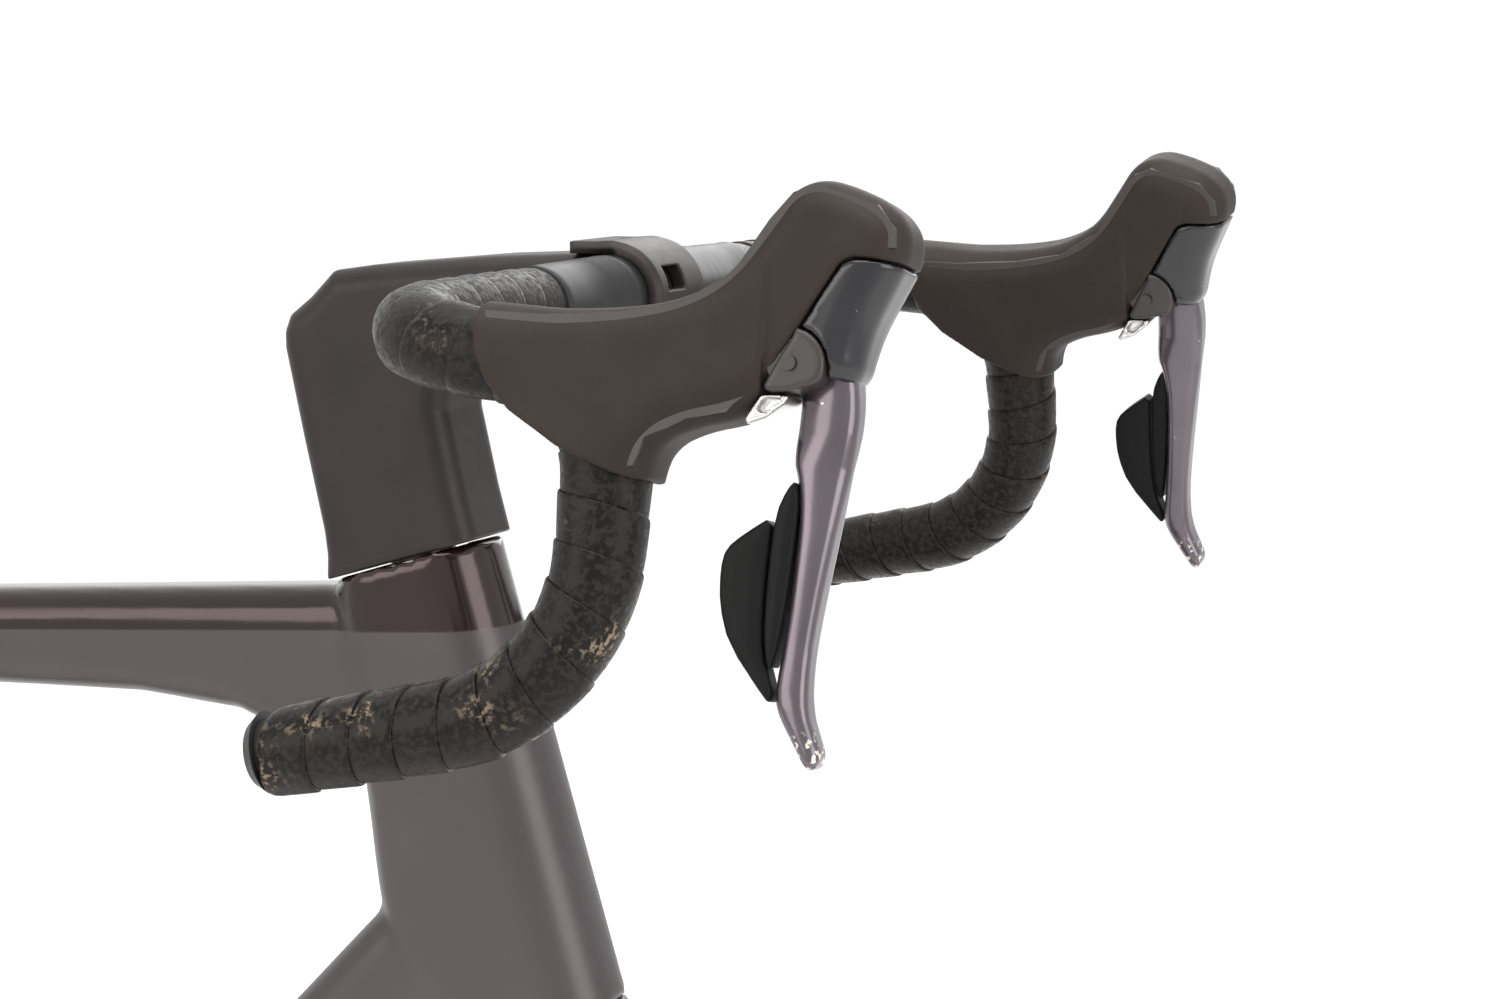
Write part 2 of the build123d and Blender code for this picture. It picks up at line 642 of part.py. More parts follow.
# The hood's outline in the drop's plane, from its rear top round to its rear.
hood_outline = [(46, 9.8), (70, 9), (98, 10.5), (118, 14), (135, 24), (146, 41), (154, 50.5), (163, 54),
                (186, 47), (193.5, 38), (194.3, 28), (175, 29), (155, -3), (149, -17.6), (138, -26),
                (124, -29), (112, -35), (108.3, -45), (100, -46), (79, -39), (60, -27), (50, -12)]
with BuildPart() as bracket:
    with BuildSketch(drop_plane(-hood_half_width + hood_wall + seat_gap)):
        Polygon(*hood_outline, align=None)
        offset(amount=-hood_wall - seat_gap, kind=Kind.INTERSECTION)
        with Locations(pivot):
            Circle(ear_radius)
    extrude(amount=2 * (hood_half_width - hood_wall - seat_gap))
    with BuildSketch(drop_plane(-ear_inside)):
        with Locations(pivot):
            Circle(ear_radius + 0.6)
        with Locations((pivot[0], pivot[1] - 20)):
            Rectangle(40, 40)
    extrude(amount=2 * ear_inside, mode=Mode.SUBTRACT)
    with BuildSketch(drop_plane(-hood_half_width)):
        with Locations(pivot):
            Circle(pin_radius)
    extrude(amount=2 * hood_half_width)
    with BuildSketch(Plane(origin=bar_line.line @ 0, z_dir=bar_line.line % 0)):
        Circle(bar_radius + tape_gap)
    sweep(path=bar_line.line, mode=Mode.SUBTRACT)
    # The band round the bar stops short of the tape's two ends.
    with BuildSketch(Plane(origin=entry + drop_forward * 2.5, z_dir=-drop_forward)):
        Circle(hood_tube_radius + 1)
    extrude(amount=30, mode=Mode.SUBTRACT)
    with BuildSketch(Plane(origin=drop_point(bar_reach, hood_exit + 0.5), z_dir=-drop_up)):
        Circle(hood_tube_radius)
    extrude(amount=30, mode=Mode.SUBTRACT)
save_pair("bracket", bracket)

with BuildPart() as hood:
    with BuildSketch(drop_plane(-hood_half_width)):
        Polygon(*hood_outline, align=None)
    extrude(amount=2 * hood_half_width)
    with BuildSketch(drop_plane(-hood_half_width + hood_wall)):
        Polygon(*hood_outline, align=None)
        offset(amount=-hood_wall, kind=Kind.INTERSECTION)
        with Locations(pivot):
            Circle(ear_radius + 0.6)
    extrude(amount=2 * (hood_half_width - hood_wall), mode=Mode.SUBTRACT)
    with BuildSketch(Plane(origin=bar_line.line @ 0, z_dir=bar_line.line % 0)):
        Circle(hood_tube_radius)
    sweep(path=bar_line.line, mode=Mode.SUBTRACT)
save_pair("hood", hood)

# ---------------------------------------------------------------- levers and shift buttons
cap_half_width = 16.5
blade_half_width = 7.0
button_inside = -3.0
button_outside = 6.5
cap_outline = [(194, 26), (176.5, 27), (158, -4.5), (166, -20), (174, -17), (178.5, -10)]
blade_outline = [(163, 2), (172, 4), (177.5, -8), (179, -24.5), (178, -42.5), (173.3, -68.7), (168.2, -101.4),
                 (168, -119.2), (173.5, -130), (173.4, -136), (169, -137), (157.4, -118), (158.5, -100),
                 (160.5, -82), (162, -50), (160.5, -36.9), (159, -16), (157, -8)]
upshift_outline = [(159.6, -42), (161.3, -52), (159.8, -82), (157.7, -101), (156.4, -107.5),
                   (152.9, -89.5), (153.6, -56.8)]
downshift_outline = [(152.8, -56), (152.1, -90), (155.6, -109.5), (156.4, -116.5), (140.8, -98.4),
                     (136, -75.8), (137, -67.6)]
with BuildPart() as lever:
    with BuildSketch(drop_plane(-blade_half_width)):
        Polygon(*blade_outline, align=None)
    extrude(amount=2 * blade_half_width)
    with BuildSketch(drop_plane(-ear_inside + seat_gap)):
        with Locations(pivot):
            Circle(barrel_radius)
    extrude(amount=2 * (ear_inside - seat_gap))
    with BuildSketch(drop_plane(-20)):
        with Locations(pivot):
            Circle(pin_radius + running_clearance)
    extrude(amount=40, mode=Mode.SUBTRACT)
save_pair("lever", lever)

with BuildPart() as lever_cap:
    with BuildSketch(drop_plane(-cap_half_width)):
        Polygon(*cap_outline, align=None)
        with Locations(pivot):
            Circle(ear_radius + 0.6, mode=Mode.SUBTRACT)
    extrude(amount=2 * cap_half_width)
    with BuildSketch(drop_plane(-blade_half_width - seat_gap)):
        Polygon(*blade_outline, align=None)
        offset(amount=seat_gap, kind=Kind.INTERSECTION)
    extrude(amount=2 * (blade_half_width + seat_gap), mode=Mode.SUBTRACT)
save_pair("lever_cap", lever_cap)

for name, outline in [("upshift_button", upshift_outline), ("downshift_paddle", downshift_outline)]:
    with BuildPart() as button:
        with BuildSketch(drop_plane(button_inside)):
            Polygon(*outline, align=None)
        extrude(amount=button_outside - button_inside)
    save_pair(name, button)

# ---------------------------------------------------------------- wheels
rim_bed_radius = 316.0
rim_depth = 52.0
rim_half_width = 13.6
rim_wall = 1.8
tyre_wall = 2.6
hub_bore_radius = 6.1
spoke_radius = 1.1
spokes_per_side = 12
spoke_lean = 20.0  # degrees round the rim from the hub end to the rim end
spoke_stagger = 1.3
nipple_offset = 2.0  # from the rim's middle, towards the spoke's flange
tyre_centre_radius = wheel_radius - tyre_width / 2
nose_radius = rim_bed_radius - rim_depth - 0.5


def wheel(name, centre, hub_outline, flanges, flange_radius):
    """Writes a wheel's tyre, rim, spokes and hub. Flanges are the y of the right and left ones."""
    with BuildPart() as tyre:
        with BuildSketch(radial_plane(centre)) as section:
            with Locations((0, tyre_centre_radius)):
                Circle(tyre_width / 2)
                Circle(tyre_width / 2 - tyre_wall, mode=Mode.SUBTRACT)
            with Locations((0, rim_bed_radius + tape_gap)):
                Rectangle(2 * tyre_width, tyre_width, align=(Align.CENTER, Align.MAX), mode=Mode.SUBTRACT)
        revolve(section.sketch, axis=Axis(centre, (0, 1, 0)))
    save(f"{name}_tyre", tyre)

    with BuildPart() as rim:
        with BuildSketch(radial_plane(centre)) as section:
            nose = rim_bed_radius - rim_depth
            outline = [(-rim_half_width + 1, rim_bed_radius), (-rim_half_width, rim_bed_radius - 14),
                       (-rim_half_width + 3, nose + 16), (-5, nose + 2), (-3, nose), (3, nose), (5, nose + 2),
                       (rim_half_width - 3, nose + 16), (rim_half_width, rim_bed_radius - 14),
                       (rim_half_width - 1, rim_bed_radius)]
            Polygon(*outline, align=None)
            with Locations((0, rim_bed_radius)):
                Rectangle(12, 5, align=(Align.CENTER, Align.MAX), mode=Mode.SUBTRACT)
            inside = [(-rim_half_width + 3, rim_bed_radius - 7), (-rim_half_width + rim_wall, rim_bed_radius - 14),
                      (-rim_half_width + 5, nose + 16), (-3.4, nose + 4), (3.4, nose + 4),
                      (rim_half_width - 5, nose + 16), (rim_half_width - rim_wall, rim_bed_radius - 14),
                      (rim_half_width - 3, rim_bed_radius - 7)]
            Polygon(*inside, align=None, mode=Mode.SUBTRACT)
        revolve(section.sketch, axis=Axis(centre, (0, 1, 0)))
    save(f"{name}_rim", rim)

    with BuildPart() as hub:
        spin(centre, hub_outline)
    save(f"{name}_hub", hub)

    with BuildPart() as spokes:
        for flange in flanges:
            for spoke in range(spokes_per_side):
                way = 1 if spoke % 2 else -1
                start_angle = 360 * spoke / spokes_per_side + (15 if flange > 0 else 0)
                end_angle = start_angle + way * spoke_lean
                offside = spoke_stagger * way
                head = Vector(0, flange + offside, flange_radius + 0.4)
                nipple = Vector(0, offside + (nipple_offset if flange > 0 else -nipple_offset), nose_radius)
                start = centre + head.rotate(Axis.Y, start_angle)
                end = centre + nipple.rotate(Axis.Y, end_angle)
                with BuildSketch(Plane(origin=start, z_dir=end - start)) as section:
                    Circle(spoke_radius)
                extrude(section.sketch, amount=(end - start).length)
    save(f"{name}_spokes", spokes)


front_flange, front_flange_radius = 22.0, 19.0
rear_flange, rear_flange_radius = 20.0, 22.0
front_rotor_seat = front_rotor_y - rotor_thickness / 2
rear_rotor_y = 53.6
rear_rotor_seat = rear_rotor_y - rotor_thickness / 2
rotor_seat_radius = 17.0
front_end = front_hub_width / 2 - dropout_gap
rear_end = rear_hub_width / 2 - dropout_gap
bore = hub_bore_radius
wheel("front", front_axle_point, [
    (-front_end, bore), (-front_end, 9.5), (-front_flange - 6, 9.5), (-front_flange - 3, 12),
    (-front_flange - 3, front_flange_radius), (-front_flange + 3, front_flange_radius), (-front_flange + 5, 11),
    (front_flange - 5, 11), (front_flange - 3, front_flange_radius), (front_flange + 3, front_flange_radius),
    (front_flange + 3, rotor_seat_radius), (front_rotor_seat, rotor_seat_radius), (front_rotor_seat, 9.5),
    (front_end, 9.5), (front_end, bore)], (-front_flange, front_flange), front_flange_radius)
wheel("rear", rear_axle_point, [
    (-rear_end, bore), (-rear_end, 8.5), (-rear_flange - 0.8, 8.5), (-rear_flange - 0.8, 14),
    (-rear_flange + 1, rear_flange_radius), (-rear_flange + 7, rear_flange_radius), (-rear_flange + 9, 12),
    (rear_flange + 10, 12), (rear_flange + 12, rear_flange_radius), (rear_flange + 18, rear_flange_radius),
    (rear_flange + 18, rotor_seat_radius), (rear_rotor_seat, rotor_seat_radius), (rear_rotor_seat, 9.5),
    (rear_end, 9.5), (rear_end, bore)], (-rear_flange + 4, rear_flange + 15), rear_flange_radius)


def rotor(name, centre, y, radius):
    """Writes a brake rotor: a braking ring on slanted arms from its hub mount."""
    with BuildPart() as disc:
        with BuildSketch(side_plane(centre, y + rotor_thickness / 2)):
            Circle(radius)
            Circle(radius - 14, mode=Mode.SUBTRACT)
            for arm in range(6):
                with Locations(Location((0, 0), 60 * arm)):
                    with Locations(Location(((radius - 1) / 2, 9), 14)):
                        Rectangle(radius - 26, 7)
            Circle(24)
            Circle(rotor_seat_radius - 6, mode=Mode.SUBTRACT)
            with PolarLocations(radius - 7, 36):
                Circle(2.2, mode=Mode.SUBTRACT)
        extrude(amount=rotor_thickness)
    save(name, disc)


rotor("front_rotor", front_axle_point, front_rotor_y, front_rotor_radius)
rotor("rear_rotor", rear_axle_point, rear_rotor_y, rear_rotor_radius)

axle_head = 4.0
axle_head_radius = 8.5
key_radius = 3.0
for name, centre, inside, thickness in [
    ("front_axle", front_axle_point, front_dropout_inside, fork_end_thickness),
    ("rear_axle", rear_axle_point, rear_dropout_inside, dropout_thickness),
]:
    with BuildPart() as thru_axle:
        axle(centre, thru_axle_radius - running_clearance, inside, -inside - thickness)
        axle(centre, axle_head_radius, inside + thickness + axle_head + seat_gap, inside + thickness + seat_gap)
        axle(centre, thru_axle_radius - running_clearance, inside + thickness + seat_gap, inside)
        axle(centre, key_radius, inside + thickness + axle_head + 1, inside + thickness + seat_gap, Mode.SUBTRACT)
    save(name, thru_axle)

# ---------------------------------------------------------------- brake calipers and pads
pad_travel_gap = 0.4  # pad to rotor, brake off
pad_thickness = 3.5
pad_length = 24.0
pad_height = 16.0
caliper_wall = 7.0
caliper_inner_wall = 5.5


def caliper(name, centre, rotor_y, rotor_radius, middle, turn, foot_y, foot_reach):
    """Writes a caliper and its two pads.

    The middle is the pads' centre, forwards and up from the axle, and turn is the angle of
    their length. The foot reaches to foot_y outboard, and foot_reach from the pads' centre.
    """
    slot = pad_thickness + pad_travel_gap + rotor_thickness / 2
    outside = slot + caliper_wall
    with BuildPart() as body:
        with BuildSketch(side_plane(centre, rotor_y + outside)) as block:
            with Locations(Location(middle, turn)):
                RectangleRounded(pad_length + 14, pad_height + 14, 6)
        extrude(block.sketch, amount=outside + slot + caliper_inner_wall)
        with BuildSketch(side_plane(centre, foot_y)) as foot:
            with Locations(Location(middle, turn)):
                with Locations((0, foot_reach)):
                    Rectangle(pad_length + 14, foot_reach - pad_height / 2 - 1, align=(Align.CENTER, Align.MAX))
        extrude(foot.sketch, amount=foot_y - rotor_y)
        with BuildSketch(side_plane(centre, rotor_y + slot)) as gap:
            with Locations(Location(middle, turn)):
                with Locations((0, -8)):
                    Rectangle(pad_length + 1, pad_height + 17)
        extrude(gap.sketch, amount=2 * slot, mode=Mode.SUBTRACT)
        axle(centre, rotor_radius + 2, rotor_y + 2, rotor_y - 2, Mode.SUBTRACT)
    save(f"{name}_caliper", body)
    for side, label in [(1, "outer"), (-1, "inner")]:
        with BuildPart() as pad:
            face = rotor_y + side * (rotor_thickness / 2 + pad_travel_gap)
            with BuildSketch(side_plane(centre, face)) as block:
                with Locations(Location(middle, turn)):
                    RectangleRounded(pad_length, pad_height, 2)
            extrude(block.sketch, amount=-side * (pad_thickness - seat_gap))
        save(f"{name}_{label}_pad", pad)


caliper("front", front_axle_point, front_rotor_y, front_rotor_radius, (-55.4, 46.1), head_angle - 147, 59, 15)
caliper("rear", rear_axle_point, rear_rotor_y, rear_rotor_radius, (52, 33), 169, 72, 31.2)

# ---------------------------------------------------------------- cranks, chainrings and pedals
chain_pitch = 12.7
sprocket_spacing = 3.65
tooth_thickness = 1.8
tooth_tip = 2.4  # above the pitch radius
chain_y = -47.9
small_ring_y = -39.5
cassette_teeth = (11, 12, 13, 14, 15, 16, 17, 19, 21, 24, 27, 30)
chain_sprocket = 4  # counted from the smallest
ring_teeth = (52, 36)
pulley_teeth = 11
spider_radius = 55.0
arm_inside = 55.5
arm_outside = 68.0
pedal_offset = 73.0
pedal_axle_radius = 5.0
pedal_width = 62.0
pedal_length = 88.0
pedal_height = 15.0


def pitch_radius(teeth):
    """The radius at which a chain runs on a sprocket."""
    return chain_pitch / 2 / sin(pi / teeth)


def sprocket(centre, y, teeth, inner_radius):
    """Adds one toothed ring of a sprocket's thickness."""
    pitch = pitch_radius(teeth)
    with BuildSketch(side_plane(centre, y + tooth_thickness / 2)) as disc:
        toothed(teeth, pitch - 2.6, pitch + tooth_tip)
        Circle(inner_radius, mode=Mode.SUBTRACT)
    extrude(disc.sketch, amount=tooth_thickness)


with BuildPart() as right_crank:
    axle(bb_point, spindle_radius, arm_inside + 10, -arm_inside)
    with BuildSketch(side_plane(bb_point, -arm_inside)):
        link((0, 0), 19, (crank_length, 0), 13)
    extrude(amount=arm_outside - arm_inside)
    with BuildSketch(side_plane(bb_point, -44.2)):
        for arm in range(4):
            with Locations(Location((0, 0), 90 * arm + 40)):
                with Locations((spider_radius / 2, 0)):
                    Rectangle(spider_radius + 14, 17)
        Circle(22)
    extrude(amount=2.2)
    axle(bb_point, 22, -45, -arm_inside)
    pedal_point = bb_point + Vector(crank_length, 0, 0)
    axle(pedal_point, pedal_axle_radius, -arm_outside, -pedal_offset - pedal_width + 4)
    axle(pedal_point, 8, -arm_outside, -pedal_offset)
save("right_crank", right_crank)

with BuildPart() as left_crank:
    with BuildSketch(side_plane(bb_point, arm_outside)):
        link((0, 0), 19, (-crank_length, 0), 13)
    extrude(amount=arm_outside - arm_inside)
    axle(bb_point, spindle_radius + running_clearance, arm_inside + 10, 0, Mode.SUBTRACT)
    left_pedal_point = bb_point - Vector(crank_length, 0, 0)
    axle(left_pedal_point, pedal_axle_radius, pedal_offset + pedal_width - 4, arm_outside)
    axle(left_pedal_point, 8, pedal_offset, arm_outside)
save("left_crank", left_crank)

with BuildPart() as chainrings:
    sprocket(bb_point, chain_y, ring_teeth[0], spider_radius + 31)
    sprocket(bb_point, small_ring_y, ring_teeth[1], spider_radius - 4)
    with BuildSketch(side_plane(bb_point, chain_y + tooth_thickness / 2)):
        for arm in range(4):
            with Locations(Location((0, 0), 90 * arm + 40)):
                with Locations((spider_radius + 17, 0)):
                    Rectangle(34, 20)
        with PolarLocations(spider_radius + 3, 4, start_angle=40):
            Circle(9)
    extrude(amount=tooth_thickness)
    with BuildSketch(side_plane(bb_point, small_ring_y - tooth_thickness / 2)):
        with PolarLocations(spider_radius, 4, start_angle=40):
            Circle(5)
    extrude(amount=-(chain_y - small_ring_y) - tooth_thickness)
    with BuildSketch(side_plane(bb_point, -44.0)):
        for arm in range(4):
            with Locations(Location((0, 0), 90 * arm + 40)):
                with Locations((spider_radius / 2, 0)):
                    Rectangle(spider_radius + 14.6, 17.6)
        Circle(22.3)
    extrude(amount=2.6, mode=Mode.SUBTRACT)
save("chainrings", chainrings)

for name, centre, side in [("right_pedal", pedal_point, -1), ("left_pedal", left_pedal_point, 1)]:
    with BuildPart() as pedal:
        middle = side * (pedal_offset + seat_gap + pedal_width / 2)
        with BuildSketch(side_plane(centre, middle)):
            with BuildLine():
                Polyline((-pedal_length / 2, -4), (-pedal_length / 2, 4), (-18, pedal_height / 2), (18, pedal_height / 2),
                         (pedal_length / 2, 4), (pedal_length / 2, -4), (18, -pedal_height / 2), (-18, -pedal_height / 2),
                         close=True)
            make_face()
        extrude(amount=pedal_width / 2, both=True)
        axle(centre, pedal_axle_radius + running_clearance, 200, -200, Mode.SUBTRACT)
    save(name, pedal)

# ---------------------------------------------------------------- cassette and derailleurs
freehub_inner_radius = 9.0
freehub_radius = 16.5
smallest_sprocket_y = chain_y - chain_sprocket * sprocket_spacing
with BuildPart() as cassette:
    for index, teeth in enumerate(cassette_teeth):
        sprocket(rear_axle_point, smallest_sprocket_y + index * sprocket_spacing, teeth, freehub_radius - 1)
    axle(rear_axle_point, freehub_radius, smallest_sprocket_y + 11 * sprocket_spacing + 0.4, smallest_sprocket_y - 2.5)
    axle(rear_axle_point, freehub_inner_radius, 0, -100, Mode.SUBTRACT)
save("cassette", cassette)

guide_point = rear_axle_point + Vector(13, 0, -67)
tension_point = guide_point + Vector(20, 0, -62)
pulley_bore_radius = 3.0
for name, centre in [("guide_pulley", guide_point), ("tension_pulley", tension_point)]:
    with BuildPart() as pulley:
        sprocket(centre, chain_y, pulley_teeth, pulley_bore_radius + running_clearance)
    save(name, pulley)

plate_gap = 4.2  # chain's middle to the cage's plates
plate_thickness = 1.6
with BuildPart() as derailleur_cage:
    for side in (-1, 1):
        with BuildSketch(side_plane(guide_point, chain_y + side * (plate_gap + plate_thickness / 2))):
            link((0, 0), 9, tuple(Vector(20, -62))[:2], 9)
        extrude(amount=plate_thickness / 2, both=True)
    for centre in (guide_point, tension_point):
        axle(centre, pulley_bore_radius, chain_y + plate_gap, chain_y - plate_gap)
save("derailleur_cage", derailleur_cage)

hanger_face = -rear_dropout_inside - dropout_thickness - seat_gap
knuckle_inside = chain_y - plate_gap - plate_thickness - seat_gap
with BuildPart() as rear_derailleur:
    axle(hanger_point, hanger_bolt_radius - running_clearance, hanger_face + dropout_thickness, hanger_face)
    axle(hanger_point, 9, hanger_face, hanger_face - 14)
    with BuildSketch(side_plane(rear_axle_point, hanger_face - 2)):
        link(tuple(hanger_drop)[:2], 8, (13, -67), 10)
    extrude(amount=11)
    axle(guide_point, 11.5, knuckle_inside, hanger_face - 13)
save("rear_derailleur", rear_derailleur)


def chain_circles(offset_out):
    """The wheels that the chain turns round, in its order: x, y, radius and way (+1 is anticlockwise)."""
    turns = [(bb_point, ring_teeth[0], -1), (tension_point, pulley_teeth, -1), (guide_point, pulley_teeth, 1),
             (rear_axle_point, cassette_teeth[chain_sprocket], -1)]
    return [(p.X - bb_point.X, p.Z - bb_point.Z, pitch_radius(teeth) - way * offset_out, way)
            for p, teeth, way in turns]


def chain_runs(offset_out):
    """The straight runs between those wheels, each as its two ends."""
    circles = chain_circles(offset_out)
    runs = []
    for (x1, y1, r1, way1), (x2, y2, r2, way2) in zip(circles, circles[1:] + circles[:1]):
        heading = atan2(y2 - y1, x2 - x1) + asin((way1 * r1 - way2 * r2) / hypot(x2 - x1, y2 - y1))
        side_x, side_y = sin(heading), -cos(heading)
        runs.append(((x1 + way1 * r1 * side_x, y1 + way1 * r1 * side_y),
                     (x2 + way2 * r2 * side_x, y2 + way2 * r2 * side_y)))
    return runs


def chain_outline(offset_out, mode=Mode.ADD):
    """The chain's closed loop, seen from the right, its line moved outwards by offset_out."""
    runs = chain_runs(offset_out)
    circles = chain_circles(offset_out)
    with BuildLine() as loop:
        for (leave, arrive), (next_leave, _), (x, y, radius, way) in zip(
            runs, runs[1:] + runs[:1], circles[1:] + circles[:1]
        ):
            Line(leave, arrive)
            start = atan2(arrive[1] - y, arrive[0] - x)
            turn = (atan2(next_leave[1] - y, next_leave[0] - x) - start) * way % (2 * pi) * way
            middle = start + turn / 2
            ThreePointArc(arrive, (x + radius * cos(middle), y + radius * sin(middle)), next_leave)
    make_face(loop.line.edges(), mode=mode)


chain_half_height = 4.0
strip_inside = 1.15
strip_outside = 2.6
roller_radius = 3.6
roller_room = 0.6
chain_teeth = [ring_teeth[0], pulley_teeth, pulley_teeth, cassette_teeth[chain_sprocket]]
with BuildPart() as chain:
    for strip in (chain_y + strip_outside, chain_y - strip_inside):
        with BuildSketch(side_plane(bb_point, strip)):
            chain_outline(chain_half_height)
            chain_outline(-chain_half_height, Mode.SUBTRACT)
        extrude(amount=strip_outside - strip_inside)
    # Rollers join the two strips along the free runs, clear of the teeth at their ends.
    for (leave, arrive), near_teeth, far_teeth in zip(chain_runs(0), chain_teeth, chain_teeth[1:] + chain_teeth[:1]):
        near, far = (
            sqrt((pitch_radius(teeth) + tooth_tip + roller_radius + roller_room) ** 2 - pitch_radius(teeth) ** 2)
            for teeth in (near_teeth, far_teeth)
        )
        run = Vector(*arrive) - Vector(*leave)
        places = []
        distance = near
        while distance < run.length - far:
            places.append(tuple(Vector(*leave) + run.normalized() * distance)[:2])
            distance += chain_pitch
        if places:
            with BuildSketch(side_plane(bb_point, chain_y + strip_inside)):
                with Locations(*places):
                    Circle(roller_radius)
            extrude(amount=2 * strip_inside)
save("chain", chain)

# ---------------------------------------------------------------- front derailleur
derailleur_plate_gap = 5.4  # chain's middle to the cage's inner faces
derailleur_plate = 1.0
cage_low = pitch_radius(ring_teeth[0]) + 4.5
cage_high = cage_low + 24
with BuildPart() as front_derailleur:
    for start in (chain_y + derailleur_plate_gap + derailleur_plate, chain_y - derailleur_plate_gap):
        with BuildSketch(side_plane(bb_point, start)):
            with BuildLine():
                Polyline((-18, cage_low), (-86, cage_low - 30), (-100, cage_low - 8), (-22, cage_high), close=True)
            make_face()
            Circle(cage_low, mode=Mode.SUBTRACT)
        extrude(amount=derailleur_plate)
    with BuildSketch(side_plane(bb_point, chain_y + derailleur_plate_gap + derailleur_plate)):
        with Locations((-50, cage_low + 6)):
            Rectangle(16, 8)
    extrude(amount=2 * (derailleur_plate_gap + derailleur_plate))
    with BuildSketch(side_plane(bb_point, -23)):
        with Locations(Location((-66, cage_low + 16), 90 - seat_angle)):
            RectangleRounded(30, 44, 5)
    extrude(amount=19)
save("front_derailleur", front_derailleur)
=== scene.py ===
# %% [markdown]
# # A road bicycle, finished in Blender
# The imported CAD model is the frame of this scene. It already holds every hard piece at its real
# size, and it says which pieces turn together. Blender adds what CAD leaves plain: soft hoods,
# wrapped bar tape, moulded levers, a padded saddle, chain links and every surface finish.

# %% Load the CAD frame
import json
import math

import bmesh
import bpy
import numpy as np
from mathutils import Matrix, Vector
from mathutils.bvhtree import BVHTree


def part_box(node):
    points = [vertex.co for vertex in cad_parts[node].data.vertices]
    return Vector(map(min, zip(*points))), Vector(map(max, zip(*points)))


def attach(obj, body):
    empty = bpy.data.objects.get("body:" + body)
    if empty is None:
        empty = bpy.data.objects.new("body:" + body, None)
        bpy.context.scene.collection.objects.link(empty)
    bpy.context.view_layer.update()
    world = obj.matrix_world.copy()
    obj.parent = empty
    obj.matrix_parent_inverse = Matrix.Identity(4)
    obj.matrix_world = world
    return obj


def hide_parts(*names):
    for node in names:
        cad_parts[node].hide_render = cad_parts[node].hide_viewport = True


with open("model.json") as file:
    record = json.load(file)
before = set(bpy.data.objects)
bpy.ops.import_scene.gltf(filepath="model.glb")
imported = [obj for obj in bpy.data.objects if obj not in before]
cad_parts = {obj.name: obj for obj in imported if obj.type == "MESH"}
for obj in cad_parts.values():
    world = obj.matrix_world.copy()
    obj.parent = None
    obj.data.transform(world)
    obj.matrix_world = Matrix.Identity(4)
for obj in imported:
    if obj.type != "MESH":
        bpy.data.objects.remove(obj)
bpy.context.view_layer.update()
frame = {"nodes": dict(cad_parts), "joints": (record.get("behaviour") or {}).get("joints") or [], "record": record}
nodes = frame["nodes"]
joints = {joint["name"]: joint for joint in frame["joints"]}

# %% [markdown]
# ## Camera, floor and light
# A long lens from a little above the bars keeps the near and far levers close in size. The floor
# and the world are almost white, so dark lacquer gets its shape from soft reflections. Large area
# lamps make the long, gentle highlights that show how a surface curves.

# %% The camera, the floor and the lamps
camera_data = bpy.data.cameras.new("camera")
camera_data.lens = 78
camera_data.sensor_width = 36
camera = bpy.data.objects.new("camera", camera_data)
camera.location = (0.9502, -1.1914, 1.0745)
camera.rotation_mode = "QUATERNION"
camera.rotation_quaternion = Vector((-0.384, 0.914, -0.131)).to_track_quat("-Z", "Y")
scene = bpy.context.scene
scene.collection.objects.link(camera)
scene.camera = camera
scene.view_settings.view_transform = "Standard"


def lamp(name, place, target, size, power, colour=(1, 1, 1)):
    """A square area lamp of a size in metres, aimed at a target."""
    data = bpy.data.lights.new(name, "AREA")
    data.size, data.energy, data.color = size, power, colour
    made = bpy.data.objects.new(name, data)
    made.location = place
    made.rotation_mode = "QUATERNION"
    made.rotation_quaternion = (Vector(target) - Vector(place)).to_track_quat("-Z", "Y")
    scene.collection.objects.link(made)


bars = (0.45, 0, 0.95)
lamp("overhead", (0.6, -0.3, 3.2), bars, 2.2, 60)
lamp("left_bank", (-1.2, -2.6, 1.8), bars, 1.8, 34, (1, 0.97, 0.93))
lamp("right_bank", (3.0, -0.8, 1.4), bars, 1.6, 30)
lamp("rear_bank", (0.2, 3.0, 2.2), bars, 2.0, 30)

world = bpy.data.worlds.new("studio")
world.use_nodes = True
world.node_tree.nodes["Background"].inputs["Color"].default_value = (1, 1, 1, 1)
world.node_tree.nodes["Background"].inputs["Strength"].default_value = 1.1
scene.world = world

# %% [markdown]
# ## A short way to write materials
# A procedural finish is a graph of nodes. Written node by node it hides what it does, so one small
# class wraps a socket and lets shader maths read as ordinary sums: `mask * (1 - wear)` adds the
# Math nodes by itself. Colours go through Mix nodes, because a Math node would turn them grey.


# %% The shader helpers
class Value:
    """A socket or a number that can be used in ordinary arithmetic."""

    def __init__(self, finish, socket):
        self.finish, self.socket = finish, socket

    def maths(self, operation, *others):
        return self.finish.node("ShaderNodeMath", {"operation": operation}, self, *others)

    def __add__(self, other):
        return self.maths("ADD", other)

    def __sub__(self, other):
        return self.maths("SUBTRACT", other)

    def __rsub__(self, other):
        return self.finish.node("ShaderNodeMath", {"operation": "SUBTRACT"}, other, self)

    def __mul__(self, other):
        return self.maths("MULTIPLY", other)

    __radd__, __rmul__ = __add__, __mul__

    def over(self, other):
        return self.maths("GREATER_THAN", other)

    def step(self, low, high):
        """0 below low, 1 above high, and a smooth rise between them."""
        settings = {"interpolation_type": "SMOOTHSTEP"}
        return self.finish.node("ShaderNodeMapRange", settings, self, low, high)


